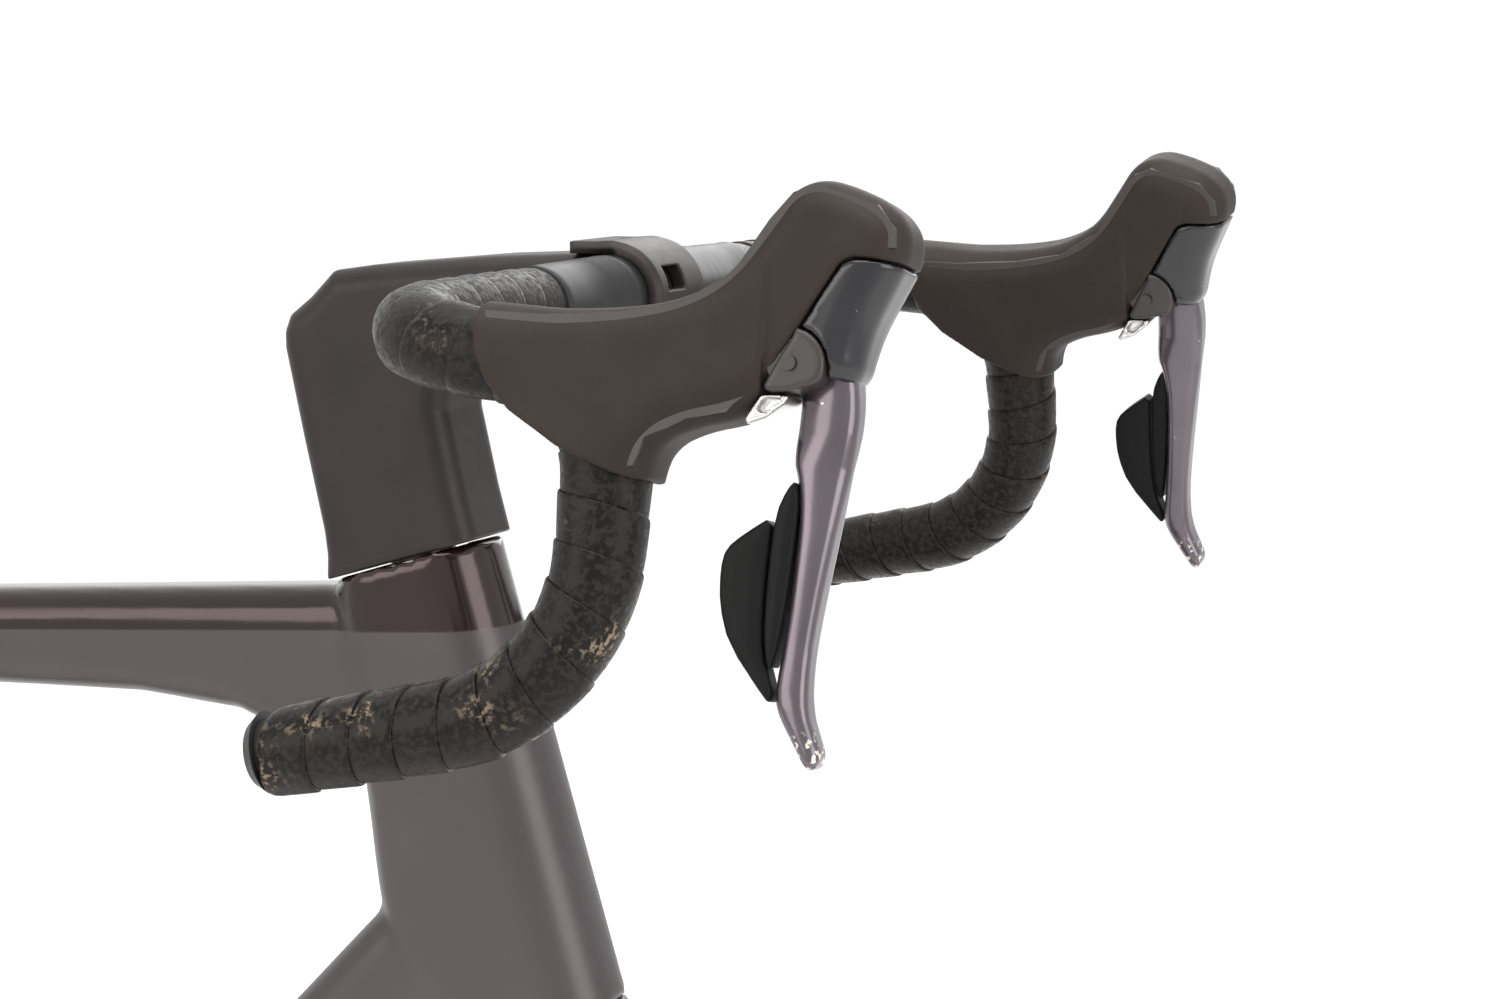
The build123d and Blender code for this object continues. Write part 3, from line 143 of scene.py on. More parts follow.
class Finish:
    """A material whose sockets are set by name and whose nodes come from one method."""

    def __init__(self, name, colour, roughness, metallic=0.0, **uniform):
        self.material = bpy.data.materials.new(name)
        self.material.use_nodes = True
        self.tree = self.material.node_tree
        self.shader = self.tree.nodes["Principled BSDF"]
        self.set("Base Color", (*colour, 1))
        self.set("Roughness", roughness)
        self.set("Metallic", metallic)
        for socket, value in uniform.items():
            self.set(socket.replace("_", " "), value)
        self.place = self.node("ShaderNodeTexCoord", {}, out="Object")

    def put(self, socket, value):
        if isinstance(value, Value):
            self.tree.links.new(value.socket, socket)
        elif value is not None:
            socket.default_value = value

    def set(self, name, value):
        self.put(self.shader.inputs[name], value)

    def node(self, kind, settings, *values, out=0, **named):
        """Adds a node: its settings first, then its sockets in order or by name."""
        made = self.tree.nodes.new(kind)
        for key, value in settings.items():
            if key == "stops":
                ramp = made.color_ramp.elements
                ramp[0].position, ramp[0].color = value[0][0], (*value[0][1], 1)
                ramp[1].position, ramp[1].color = value[-1][0], (*value[-1][1], 1)
                for position, colour in value[1:-1]:
                    ramp.new(position).color = (*colour, 1)
            else:
                setattr(made, key, value)
        for socket, value in zip(made.inputs, values):
            self.put(socket, value)
        for key, value in named.items():
            self.put(made.inputs[key.replace("_", " ")], value)
        return Value(self, made.outputs[out])

    def noise(self, scale, detail=3.0, rough=0.5, where=None, **more):
        return self.node("ShaderNodeTexNoise", {}, Vector=where or self.place, Scale=scale, Detail=detail,
                         Roughness=rough, **more)

    def cells(self, scale, feature="F1", where=None):
        kind = "ShaderNodeTexVoronoi"
        return self.node(kind, {"feature": feature}, Vector=where or self.place, Scale=scale)

    def xyz(self, where=None):
        split = self.tree.nodes.new("ShaderNodeSeparateXYZ")
        self.put(split.inputs[0], where or self.place)
        return [Value(self, output) for output in split.outputs]

    def stretch(self, scale, turn=(0, 0, 0)):
        """The object's coordinates, turned and then scaled for each axis."""
        kind = "ShaderNodeMapping"
        return self.node(kind, {"vector_type": "POINT"}, self.place, Rotation=turn, Scale=scale)

    def mix(self, share, first, second):
        made = self.tree.nodes.new("ShaderNodeMix")
        made.data_type = "RGBA"
        self.put(made.inputs[0], share)
        for socket, value in ((made.inputs[6], first), (made.inputs[7], second)):
            self.put(socket, value if isinstance(value, Value) else (*value, 1))
        return Value(self, made.outputs[2])

    def bump(self, height, distance, strength=1.0):
        self.set("Normal", self.node("ShaderNodeBump", {}, Strength=strength, Distance=distance,
                                     Height=height, out="Normal"))


def finish_piece(piece, finish):
    """Gives a whole piece one material."""
    piece.data.materials.clear()
    piece.data.materials.append(finish.material)

# %% [markdown]
# ## The bike's own reference lines
# Every joint in the record says where it turns and about which line. The steering axis, and the
# tilted plane that each drop lies in, come straight from those, so nothing is placed by eye.

# %% Planes and points
FLARE = -Vector(joints["right_brake_lever"]["axis"])
DROP_UP = -Vector(joints["right_upshift_press"]["axis"])
DROP_FORWARD = DROP_UP.cross(FLARE)
PIVOT = (158.8, -7.4)  # the lever's pin in the drop's plane, millimetres from the bar's centre line
DROP_ORIGIN = (Vector(joints["right_brake_lever"]["pos_m"]) * 1000
               - DROP_FORWARD * PIVOT[0] - DROP_UP * PIVOT[1])
STEER_UP = Vector(joints["steering"]["axis"])
STEER_FORWARD = Vector((0, 1, 0)).cross(STEER_UP)
CROWN = Vector(joints["steering"]["pos_m"]) * 1000
BAR = Vector((DROP_ORIGIN.x, 0, DROP_ORIGIN.z))
DROP_PLANE = (DROP_ORIGIN, DROP_FORWARD, DROP_UP, FLARE)  # origin, then the x, y and z directions


def in_metres(points, plane):
    """Moves points in millimetres from a piece's own plane to the bike's frame in metres."""
    origin, x_way, y_way, z_way = (np.array(v) for v in plane)
    points = np.asarray(points, float)
    return (origin + points[:, :1] * x_way + points[:, 1:2] * y_way + points[:, 2:3] * z_way) / 1000


print("bar centre", [round(v, 1) for v in BAR], "drop origin", [round(v, 1) for v in DROP_ORIGIN])

# %% [markdown]
# ## Soft moulded shapes from distance fields
# A rubber hood has no sharp sections to loft. It is easier to describe it by how far each point in
# space lies from its surface: outlines give a distance, two distances blend into a fillet, and a
# grid of such distances turns into a mesh where the sign changes. Subdivision modelling could make
# the same forms, but here the outline stays the only thing that has to be drawn.


# %% From a distance field to a mesh
class Block:
    """A box of space sampled on a grid, in millimetres: x forwards, y up and z outwards."""

    def __init__(self, low, high, step):
        self.low, self.step = np.array(low, float), step
        spans = [np.arange(a, b + step, step, dtype=np.float32) for a, b in zip(low, high)]
        self.x, self.y, self.z = spans[0][:, None, None], spans[1][None, :, None], spans[2][None, None, :]

    def outline(self, points):
        """Distance to a closed outline in x and y, negative inside."""
        nearest, inside = np.float32(1e9), False
        for (ax, ay), (bx, by) in zip(points, [*points[1:], points[0]]):
            ex, ey = bx - ax, by - ay
            px, py = self.x - ax, self.y - ay
            along = np.clip((px * ex + py * ey) / (ex * ex + ey * ey), 0, 1)
            nearest = np.minimum(nearest, (px - ex * along) ** 2 + (py - ey * along) ** 2)
            inside = inside ^ (((ay > self.y) != (by > self.y)) & (px < ex * py / (ey or 1e-9)))
        return np.where(inside, -1, 1) * np.sqrt(nearest)

    def along(self, path):
        """Distance to a line through 3-D points."""
        nearest = np.float32(1e9)
        for start, end in zip(path, path[1:]):
            way = [e - s for s, e in zip(start, end)]
            off = [axis - s for axis, s in zip((self.x, self.y, self.z), start)]
            share = np.clip(sum(o * w for o, w in zip(off, way)) / sum(w * w for w in way), 0, 1)
            nearest = np.minimum(nearest, sum((o - w * share) ** 2 for o, w in zip(off, way)))
        return np.sqrt(nearest)


def join(first, second, soft):
    """The union of two fields, with a fillet of about the soft distance."""
    share = np.clip(0.5 + 0.5 * (second - first) / soft, 0, 1)
    return second + (first - second) * share - soft * share * (1 - share)


def trim(first, second, soft):
    """What two fields share, with a rounded edge."""
    return -join(-first, -second, soft)


def rounded(flat, half, radius):
    """An outline's distance and a half width's, met with an edge of a radius."""
    a, b = np.maximum(flat + radius, 0), np.maximum(half + radius, 0)
    return np.sqrt(a * a + b * b) + np.minimum(np.maximum(flat, half) + radius, 0) - radius


def softened(points, rounds=2):
    """Cuts an outline's corners, so that it runs smoothly."""
    points = np.array(points, float)
    for _ in range(rounds):
        ahead = np.roll(points, -1, 0)
        points = np.stack([points * 0.75 + ahead * 0.25, points * 0.25 + ahead * 0.75], 1).reshape(-1, 2)
    return [tuple(p) for p in points]


def skin(block, field):
    """Vertices in millimetres and four-sided faces where a field changes sign."""
    cells = tuple(n - 1 for n in field.shape)
    total, hits = np.zeros((*cells, 3), np.float32), np.zeros(cells, np.float32)
    quads = []
    index = np.full(cells, -1)
    crossings = []
    for axis in range(3):
        others = [a for a in range(3) if a != axis]
        low = [slice(None)] * 3
        high = [slice(None)] * 3
        low[axis], high[axis] = slice(0, -1), slice(1, None)
        a, b = field[tuple(low)], field[tuple(high)]
        crossed = (a < 0) != (b < 0)
        share = np.where(crossed, a / np.where(crossed, a - b, 1), 0)
        crossings.append((axis, others, crossed, a < 0))
        for i in (0, 1):
            for j in (0, 1):
                part = [slice(None)] * 3
                part[others[0]] = slice(i, field.shape[others[0]] - 1 + i)
                part[others[1]] = slice(j, field.shape[others[1]] - 1 + j)
                here = crossed[tuple(part)]
                hits += here
                total[..., axis] += share[tuple(part)]
                total[..., others[0]] += here * i
                total[..., others[1]] += here * j
    active = hits > 0
    index[active] = np.arange(active.sum())
    corners = np.argwhere(active) + total[active] / hits[active][:, None]
    for axis, others, crossed, starts_inside in crossings:
        at = np.argwhere(crossed)
        keep = (at[:, others[0]] > 0) & (at[:, others[1]] > 0)
        keep &= (at[:, others[0]] < cells[others[0]]) & (at[:, others[1]] < cells[others[1]])
        at = at[keep]
        ring = []
        for i, j in ((-1, -1), (0, -1), (0, 0), (-1, 0)):
            cell = at.copy()
            cell[:, others[0]] += i
            cell[:, others[1]] += j
            ring.append(index[tuple(cell.T)])
        ring = np.stack(ring, 1)
        outwards = starts_inside[tuple(at.T)] ^ (axis == 1)
        ring[~outwards] = ring[~outwards][:, ::-1]
        quads.append(ring)
    return corners * block.step + block.low, np.concatenate(quads)


def piece_from(name, points, faces, flip=False):
    """A smooth-shaded object from points in metres, on the collection and at the origin."""
    mesh = bpy.data.meshes.new(name)
    faces = np.asarray(faces)
    mesh.from_pydata(np.asarray(points).tolist(), [], (faces[:, ::-1] if flip else faces).tolist())
    mesh.shade_smooth()
    made = bpy.data.objects.new(name, mesh)
    scene.collection.objects.link(made)
    return made


def relaxed(points, faces, rounds):
    """Evens out a skin by moving each point part of the way to the middle of its neighbours."""
    edges = np.concatenate([faces[:, [i, (i + 1) % 4]] for i in range(4)])
    count = np.bincount(edges.ravel(), minlength=len(points))[:, None]
    for amount in [0.5, -0.52] * rounds:
        middle = np.zeros_like(points)
        np.add.at(middle, edges[:, 0], points[edges[:, 1]])
        np.add.at(middle, edges[:, 1], points[edges[:, 0]])
        points = points + amount * (middle / count - points)
    return points


def settle(made, body, slot, finish, *stands_for):
    """Gives a piece its finish, and hangs it on a body in place of CAD nodes; the slot is not used."""
    finish_piece(made, finish)
    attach(made, body)
    if stands_for:
        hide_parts(*stands_for)
    return made


def moulded(name, block, field, plane, rounds=4):
    """Meshes a field, evens it out and places it in the bike's frame."""
    points, faces = skin(block, field)
    return piece_from(name, in_metres(relaxed(points, faces, rounds), plane), faces)


def mirrored(piece, name):
    """The left-hand twin of a right-hand piece, with its faces turned to point outwards again."""
    mesh = piece.data.copy()
    mesh.name = name
    mesh.transform(Matrix.Scale(-1, 4, (0, 1, 0)))
    mesh.flip_normals()
    made = bpy.data.objects.new(name, mesh)
    scene.collection.objects.link(made)
    return made


def both_sides(piece, base, body, slot, finish, *stands_for):
    """Settles a right-hand piece and its left-hand twin. Body and node names take the side's name."""
    twin = mirrored(piece, f"left_{base}")
    for side, made in (("right", piece), ("left", twin)):
        settle(made, body.format(side), slot, finish, *(n.format(side) for n in stands_for))

# %% [markdown]
# ## The finishes
# The frame's lacquer is a satin grey-mauve with fine metallic flake, and a gloss dark brown covers
# the top of the top tube and head tube. Rubber is rough with a faint sheen, and its grain is in the
# bump. Wear shows only where hands and floors touch: lever tips, edges and the bends of the tape.

# %% Lacquer, carbon and rubber
lacquer = Finish("lacquer", (0.13, 0.115, 0.12), 0.36, 0.6, Coat_Roughness=0.2, Specular_IOR_Level=0.3)
x, y, z = lacquer.xyz()
above = z - (x * 0.066 + 0.8240)  # the colour split rises a little towards the head tube
gloss = above.step(-0.0006, 0.0006)
flake = lacquer.cells(9000)
cloud = lacquer.noise(14, 4)
mauve = lacquer.mix(cloud * 0.5 + flake * 0.4, (0.047, 0.040, 0.041), (0.090, 0.078, 0.080))
brown = lacquer.mix(cloud, (0.012, 0.0055, 0.0045), (0.026, 0.0125, 0.0105))
lacquer.set("Base Color", lacquer.mix(gloss, mauve, brown))
lacquer.set("Roughness", gloss * -0.24 + 0.38)
lacquer.set("Coat Weight", gloss * 0.42 + 0.06)

satin = Finish("satin_carbon", (0.015, 0.013, 0.013), 0.42, 0.0, Specular_IOR_Level=0.24,
               Specular_Tint=(1.0, 0.92, 0.9, 1))
cloud = satin.noise(30, 3)
satin.set("Base Color", satin.mix(cloud, (0.010, 0.0085, 0.008), (0.021, 0.0175, 0.0165)))
satin.set("Roughness", satin.noise(180, 2) * 0.12 + 0.36)
satin.bump(satin.noise(1500, 2), 0.00004)

rubber = Finish("hood_rubber", (0.015, 0.012, 0.01), 0.55, 0.0, Specular_IOR_Level=0.26,
                Specular_Tint=(1.0, 0.84, 0.78, 1))
cloud = rubber.noise(22, 4)
rubber.set("Base Color", rubber.mix(cloud, (0.0095, 0.0075, 0.0065), (0.021, 0.0165, 0.014)))
rubber.set("Roughness", rubber.noise(90, 3) * 0.14 + 0.50)
rubber.bump(rubber.cells(2600), 0.00005)

tape = Finish("bar_tape", (0.01, 0.0095, 0.009), 0.42, Specular_IOR_Level=0.16,
              Specular_Tint=(1.0, 0.93, 0.88, 1))
mottle = tape.noise(420, 5, 0.62)
patches = mottle.step(0.44, 0.60)
worn = tape.node("ShaderNodeAttribute", {"attribute_name": "wear"}, out="Fac")
rub = tape.noise(60, 3).step(0.50, 0.66) * mottle.step(0.50, 0.62) * worn
base = tape.mix(patches, (0.005, 0.0045, 0.0042), (0.016, 0.0145, 0.0135))
tape.set("Base Color", tape.mix(rub, base, (0.22, 0.165, 0.11)))
tape.set("Roughness", patches * 0.26 + 0.28)
tape.bump(mottle, 0.0004, 0.8)

# %% Lever lacquer, buttons and small plastics
bronze = Finish("lever_lacquer", (0.13, 0.105, 0.125), 0.24, 0.7, Coat_Weight=0.6, Coat_Roughness=0.12)
x, y, z = bronze.xyz()
low = (z * -1 + 0.866).step(0.0, 0.008)
chips = bronze.noise(420, 4).step(0.56, 0.60) * low
specks = bronze.noise(330, 5).step(0.73, 0.75)
cloud = bronze.noise(40, 3)
paint = bronze.mix(cloud, (0.060, 0.047, 0.055), (0.115, 0.092, 0.108))
bronze.set("Base Color", bronze.mix(chips.maths("MAXIMUM", specks), paint, (0.62, 0.58, 0.52)))
bronze.set("Roughness", chips * 0.3 + 0.26)

gloss_black = Finish("cap_lacquer", (0.012, 0.011, 0.013), 0.22, 0.3, Coat_Weight=0.4, Coat_Roughness=0.12,
                     Specular_IOR_Level=0.35)
specks = gloss_black.noise(420, 5).step(0.72, 0.74)
cloud = gloss_black.noise(35, 3)
paint = gloss_black.mix(cloud, (0.008, 0.0075, 0.0085), (0.017, 0.0155, 0.018))
gloss_black.set("Base Color", gloss_black.mix(specks, paint, (0.5, 0.48, 0.45)))

button = Finish("button_plastic", (0.005, 0.005, 0.005), 0.45, Specular_IOR_Level=0.12)
button.set("Roughness", button.noise(200, 2) * 0.15 + 0.42)
button.bump(button.cells(1700), 0.00006)
plate = Finish("plate_plastic", (0.045, 0.036, 0.032), 0.4)
plate.set("Base Color", plate.mix(plate.noise(60, 3), (0.012, 0.0095, 0.0085), (0.030, 0.024, 0.021)))
plastic = Finish("moulded_plastic", (0.02, 0.02, 0.02), 0.5)
plastic.set("Roughness", plastic.noise(120, 3) * 0.2 + 0.4)
plastic.bump(plastic.noise(1300, 2), 0.00005)
print("finishes so far:", len(bpy.data.materials))

# %% Metals, tyre, saddle cover and pads


def metal(name, colour, roughness, grain, **more):
    """A metal whose brushed or cast grain shows in its roughness and shade."""
    made = Finish(name, colour, roughness, 1.0, **more)
    streak = made.noise(1.0, 3, where=made.stretch(grain))
    made.set("Roughness", streak * 0.25 + (roughness - 0.1))
    made.set("Base Color", made.mix(streak, [c * 0.8 for c in colour], [min(1, c * 1.15) for c in colour]))
    return made


steel = metal("steel", (0.52, 0.51, 0.50), 0.28, (300, 2500, 300))
dark_steel = metal("dark_steel", (0.12, 0.12, 0.125), 0.34, (600, 600, 600))
anodised = metal("anodised", (0.075, 0.073, 0.08), 0.36, (900, 900, 900))
plated = metal("plated_chain", (0.42, 0.41, 0.39), 0.26, (700, 700, 700))
silver = metal("bright_edge", (0.62, 0.61, 0.60), 0.3, (900, 900, 900))

carbon_rim = Finish("rim_carbon", (0.018, 0.018, 0.019), 0.36, 0.1, Coat_Weight=0.3, Coat_Roughness=0.3)
weave = carbon_rim.node("ShaderNodeTexWave", {"wave_type": "BANDS", "bands_direction": "DIAGONAL"},
                        Vector=carbon_rim.place, Scale=160, Distortion=0.6)
carbon_rim.set("Base Color", carbon_rim.mix(weave, (0.013, 0.013, 0.014), (0.026, 0.026, 0.028)))

compound = Finish("pad_compound", (0.14, 0.115, 0.1), 0.8, 0.3)
compound.set("Base Color", compound.mix(compound.noise(900, 3), (0.09, 0.075, 0.065), (0.2, 0.165, 0.14)))

hide = Finish("saddle_cover", (0.02, 0.02, 0.021), 0.46)
grain = hide.cells(750)
hide.set("Base Color", hide.mix(grain, (0.014, 0.014, 0.015), (0.027, 0.027, 0.029)))
hide.set("Roughness", hide.noise(60, 3) * 0.15 + 0.4)
hide.bump(grain, 0.00012)

casing = Finish("tyre_rubber", (0.022, 0.022, 0.023), 0.72)
casing.set("Base Color", casing.mix(casing.noise(120, 4), (0.016, 0.016, 0.017), (0.034, 0.033, 0.033)))
casing.bump(casing.noise(900, 3), 0.00008)

FINISHES = {
    "frame": lacquer, "fork": lacquer, "headset_bearings": steel, "bottom_bracket": anodised,
    "seatpost": satin, "rail_clamp": anodised, "saddle_rails": dark_steel, "steerer_plug": anodised,
    "steerer_cover": satin, "stem": satin, "stem_faceplate": satin, "stem_bolts": dark_steel,
    "handlebar": satin, "bar_end_plugs": plastic, "chainrings": anodised, "cassette": steel,
    "derailleur_cage": anodised, "rear_derailleur": anodised, "front_derailleur": anodised, "chain": plated,
    "guide_pulley": plastic, "tension_pulley": plastic, "saddle": hide,
}
for side in ("right", "left"):
    FINISHES[f"{side}_crank"] = anodised
    FINISHES[f"{side}_pedal"] = plastic
    FINISHES[f"{side}_bracket"] = plate
for wheel in ("front", "rear"):
    FINISHES[f"{wheel}_tyre"] = casing
    FINISHES[f"{wheel}_rim"] = carbon_rim
    FINISHES[f"{wheel}_spokes"] = dark_steel
    for part in ("hub", "axle", "caliper"):
        FINISHES[f"{wheel}_{part}"] = anodised
    FINISHES[f"{wheel}_rotor"] = steel
    for pad in ("inner_pad", "outer_pad"):
        FINISHES[f"{wheel}_{pad}"] = compound
for node, finish in FINISHES.items():
    finish_piece(nodes[node], finish)
print("finished", len(FINISHES), "CAD nodes")

# %% [markdown]
# ## Hoods
# A hood is one rubber moulding pulled over the lever's bracket and the bend of the bar. It is the
# side outline with deep rounded edges, melted into a sleeve round the bar. The rear edge and the
# parting line in front are trims, so hood and cap stay one continuous surface across the hairline.

# %% The bar's line, and the hood's and cap's shared body
BAR_REACH, RAMP_FALL, DROP_CORNER, BAR_END = 91, -12, -121, (-26, -146)


def rounded_route(points, radii, spacing):
    """Points along straight runs joined by arcs of given radii."""
    points = [Vector(p) for p in points]
    found = [points[0]]
    for before, corner, after, radius in zip(points, points[1:], points[2:], radii):
        back, ahead = (before - corner).normalized(), (after - corner).normalized()
        half = back.angle(ahead) / 2
        centre = corner + (back + ahead).normalized() * radius / math.sin(half)
        start, end = (corner + way * radius / math.tan(half) for way in (back, ahead))
        steps = max(4, round(radius * (math.pi - 2 * half) / spacing))
        found += [centre + (start - centre).slerp(end - centre, i / steps).normalized() * radius
                  for i in range(steps + 1)]
    found.append(points[-1])
    line = [found[0]]
    for start, end in zip(found, found[1:]):
        steps = max(1, round((end - start).length / spacing))
        line += [start.lerp(end, (i + 1) / steps) for i in range(steps)]
    return line


drop_line = rounded_route([(-10, 0, 0), (BAR_REACH, RAMP_FALL, 0), (BAR_REACH, -90, 0)], [38], 4)
HEAD_OUTLINE = [(24, 11), (46, 10.6), (70, 9.6), (98, 10.5), (118, 14), (134, 23), (146, 40), (153, 50.5),
                (163, 54.5), (174, 52), (187, 46.5), (193.8, 39), (194.6, 29), (189, 17), (184, 6.5),
                (181.4, -3), (180.4, -9), (178, -13), (170, -15.5), (158, -18), (149, -22), (138, -26),
                (124, -29), (113, -34.5), (108.6, -45), (108, -58), (80, -58), (60, -40), (40, -16)]
head = Block((20, -62, -24), (200, 60, 24), 1.0)
taper = np.clip((head.y + 14) / 44, 0, 1)
half_width = 14.2 + 3.8 * np.sqrt(taper)
half_width = np.where(head.x < 150, 18 - 1.2 * np.clip((110 - head.x) / 50, 0, 1), half_width)
body = rounded(head.outline(softened(HEAD_OUTLINE)), np.abs(head.z) - half_width, 13.0)
sleeve = head.along([tuple(p) for p in drop_line]) - 16.2
body = join(body, sleeve, 7.0)
print("head block", body.shape)

# %% Hoods and caps
GROOVE = 0.18
EAR_RADIUS = 12.0
HOOD_ZONE = [(45, 70), (44.8, 11), (45.2, 2), (47, -7), (51.5, -17), (60, -26), (79, -37.5), (99, -45.2),
             (104, -46.6), (118, -47), (150, -47), (147, -30), (143.5, -26), (148.6, -17.6), (155, -5),
             (172, 22.5), (173.4, 24.8), (175.4, 26.5), (178.4, 27.3), (182, 27.2), (215, 24.6),
             (215, 70)]
CAP_ZONE = [(215, 24.2), (182, 26.8), (178.6, 26.9), (175.7, 26.1), (173.8, 24.4), (172.3, 22.1), (150, -14),
            (150, -12), (172, -11.6), (177, -12.6), (215, -12.6)]
pivot_distance = np.sqrt((head.x - PIVOT[0]) ** 2 + (head.y - PIVOT[1]) ** 2)
ear = pivot_distance - EAR_RADIUS
hood_field = trim(body, head.outline(HOOD_ZONE) + GROOVE, 0.8)
cap_field = trim(body, head.outline(CAP_ZONE) + GROOVE, 0.8)
cap_field = trim(cap_field, GROOVE - ear, 0.6)
hood = moulded("right_hood_skin", head, hood_field, DROP_PLANE)
both_sides(hood, "hood_skin", "front_end", "hood_rubber", rubber, "{}_hood")
cap = moulded("right_cap_skin", head, cap_field, DROP_PLANE)
both_sides(cap, "cap_skin", "{}_lever", "lever_gloss", gloss_black, "{}_lever_cap")
print("hood", len(hood.data.polygons), "faces, cap", len(cap.data.polygons), "faces")

# %% The ear plate round the pin, and the metal pocket below it
PLATE_ZONE = [(148.8, -17.2), (155.2, -4.8), (159, 1.6), (161.5, 14), (182, 10), (176, -11), (166, -14.6),
              (158.5, -16.6)]
plate_body = rounded(head.outline(softened(HEAD_OUTLINE)) - 2, np.abs(head.z) - 16.9, 3.0)
plate_field = trim(plate_body, head.outline(PLATE_ZONE) + GROOVE, 0.6)
plate_field = trim(plate_field, ear + 2 * GROOVE, 0.9)
pocket_outline = [(143.8, -25.9), (148.9, -17.9), (158.8, -17.3), (157.6, -20), (151, -25.2), (145, -27.4)]
pocket_hole = [(147.6, -22.6), (150.4, -18.5), (156.8, -18.4), (150.6, -23.9)]
pocket = rounded(head.outline(pocket_outline), np.abs(head.z) - 15.2, 1.2)
pocket = trim(pocket, -rounded(head.outline(pocket_hole), 11.5 - np.abs(head.z), 0.8), 0.5)
ear_plate = moulded("right_ear_plate", head, plate_field, DROP_PLANE)
both_sides(ear_plate, "ear_plate", "front_end", "bracket", plate)
pocket_piece = moulded("right_pocket", head, pocket, DROP_PLANE, 2)
both_sides(pocket_piece, "pocket", "front_end", "bracket", silver)

# %% [markdown]
# ## Lever blades and shift buttons
# A blade is forged and then smoothed: its section is a lens with a soft ridge nearer the front. The
# half width falls away from that ridge line, which is all that the field needs. The two buttons are
# thin plates with rolled edges, behind the blade's outer half.

# %% Blades and buttons
BLADE_OUTLINE = [(163, 1), (171, 2), (177.5, -6), (179.4, -18), (179.2, -28), (177.2, -42), (173.6, -64),
                 (170, -88), (168.4, -104), (168.8, -118), (172.5, -127), (174.6, -132), (173, -137),
                 (169.4, -137.2), (164.5, -129), (158, -119), (157.4, -112), (158.8, -100), (160.8, -80),
                 (162, -56), (160.4, -44), (157.4, -36.9), (158.6, -16), (158, -6)]
RIDGE = [(172, 4), (171.6, -16), (171, -28), (166.8, -40), (167, -60), (165, -90), (163.4, -112),
         (168, -128), (171.6, -137)]
blade = Block((150, -142, -11), (184, 8, 11), 0.7)
ridge_x = np.interp(-blade.y, [-p[1] for p in RIDGE], [p[0] for p in RIDGE])
fall = np.abs(blade.x - ridge_x)
blade_half = np.interp(-blade.y, [0, 30, 100, 118, 137], [8.2, 7.6, 6.4, 6.8, 6.0]) - 0.030 * fall * fall
blade_field = rounded(blade.outline(softened(BLADE_OUTLINE)), np.abs(blade.z) - blade_half, 3.4)
blade_piece = moulded("right_blade", blade, blade_field, DROP_PLANE)
both_sides(blade_piece, "blade", "{}_lever", "lever_gloss", bronze, "{}_lever")

UPSHIFT = [(160.4, -44), (161.9, -50), (161.6, -62), (160, -84), (157.9, -100), (156, -107), (153.6, -100),
           (152.8, -88), (153.2, -70), (154.2, -55), (157.5, -47)]
DOWNSHIFT = [(153.2, -55.6), (152.4, -70), (152, -88), (153, -101), (155.6, -108.6), (157, -113),
             (156.4, -116.8), (154.4, -115.6), (140.6, -98.6), (136.4, -86), (135.8, -74), (137.2, -67.4),
             (143, -62.4)]
keys = Block((132, -120, -5), (165, -40, 9), 0.6)
for base, outline, low, high in (("upshift", UPSHIFT, -2.5, 7.0), ("downshift", DOWNSHIFT, -3.0, 5.6)):
    middle, half = (low + high) / 2, (high - low) / 2
    bulge = 0.9 * np.clip(-keys.outline(outline) / 5, 0, 1)
    field = rounded(keys.outline(softened(outline, 1)), np.abs(keys.z - middle) - half - bulge, 1.3)
    made = moulded(f"right_{base}_key", keys, field, DROP_PLANE, 3)
    node = "{}_upshift_button" if base == "upshift" else "{}_downshift_paddle"
    both_sides(made, f"{base}_key", "{}_" + base, "button", button, node)
print("levers and buttons are in place")

# %% [markdown]
# ## Bar tape
# Tape is one long ribbon wound round the bar, and each turn laps over the last, which leaves a step
# at every edge. A bump map would not fan those steps out round the bends, so the ribbon is swept:
# its own section, with a raised leading edge, travels along a helix round the bar's line.

# %% Frames along a line
TAPE_START, TAPE_PITCH = 86, 16.5


def drop_place(forward, up, outward=0.0):
    """A point of the right-hand drop's plane, in millimetres in the bike's frame."""
    return DROP_ORIGIN + DROP_FORWARD * forward + DROP_UP * up + FLARE * outward


def swept_frames(line):
    """Distances, points and two sideways directions along a line, without twist."""
    points = np.array([tuple(p) for p in line])
    ways = np.gradient(points, axis=0)
    ways /= np.linalg.norm(ways, axis=1)[:, None]
    side = np.cross(ways[0], (0, 0, 1))
    sides = []
    for way in ways:
        side = side - way * side.dot(way)
        side /= np.linalg.norm(side)
        sides.append(side)
    sides = np.array(sides)
    distance = np.concatenate([[0], np.cumsum(np.linalg.norm(np.diff(points, axis=0), axis=1))])
    return distance, points, sides, np.cross(ways, sides)


def around(frames, distance, radius, angle):
    """Points at a distance along a line, and at a radius and an angle round it."""
    at = [np.stack([np.interp(distance, frames[0], column) for column in part.T], -1) for part in frames[1:]]
    return at[0] + radius[..., None] * (np.cos(angle)[..., None] * at[1] + np.sin(angle)[..., None] * at[2])


bar_corners = [BAR, DROP_ORIGIN, drop_place(BAR_REACH, RAMP_FALL), drop_place(BAR_REACH, DROP_CORNER),
               drop_place(*BAR_END)]
bar_line = rounded_route(bar_corners, [42, 38, 66], 1.5)
bar_frames = swept_frames(bar_line)
bar_length = bar_frames[0][-1]
print("bar line from its centre to its end:", round(bar_length), "mm")

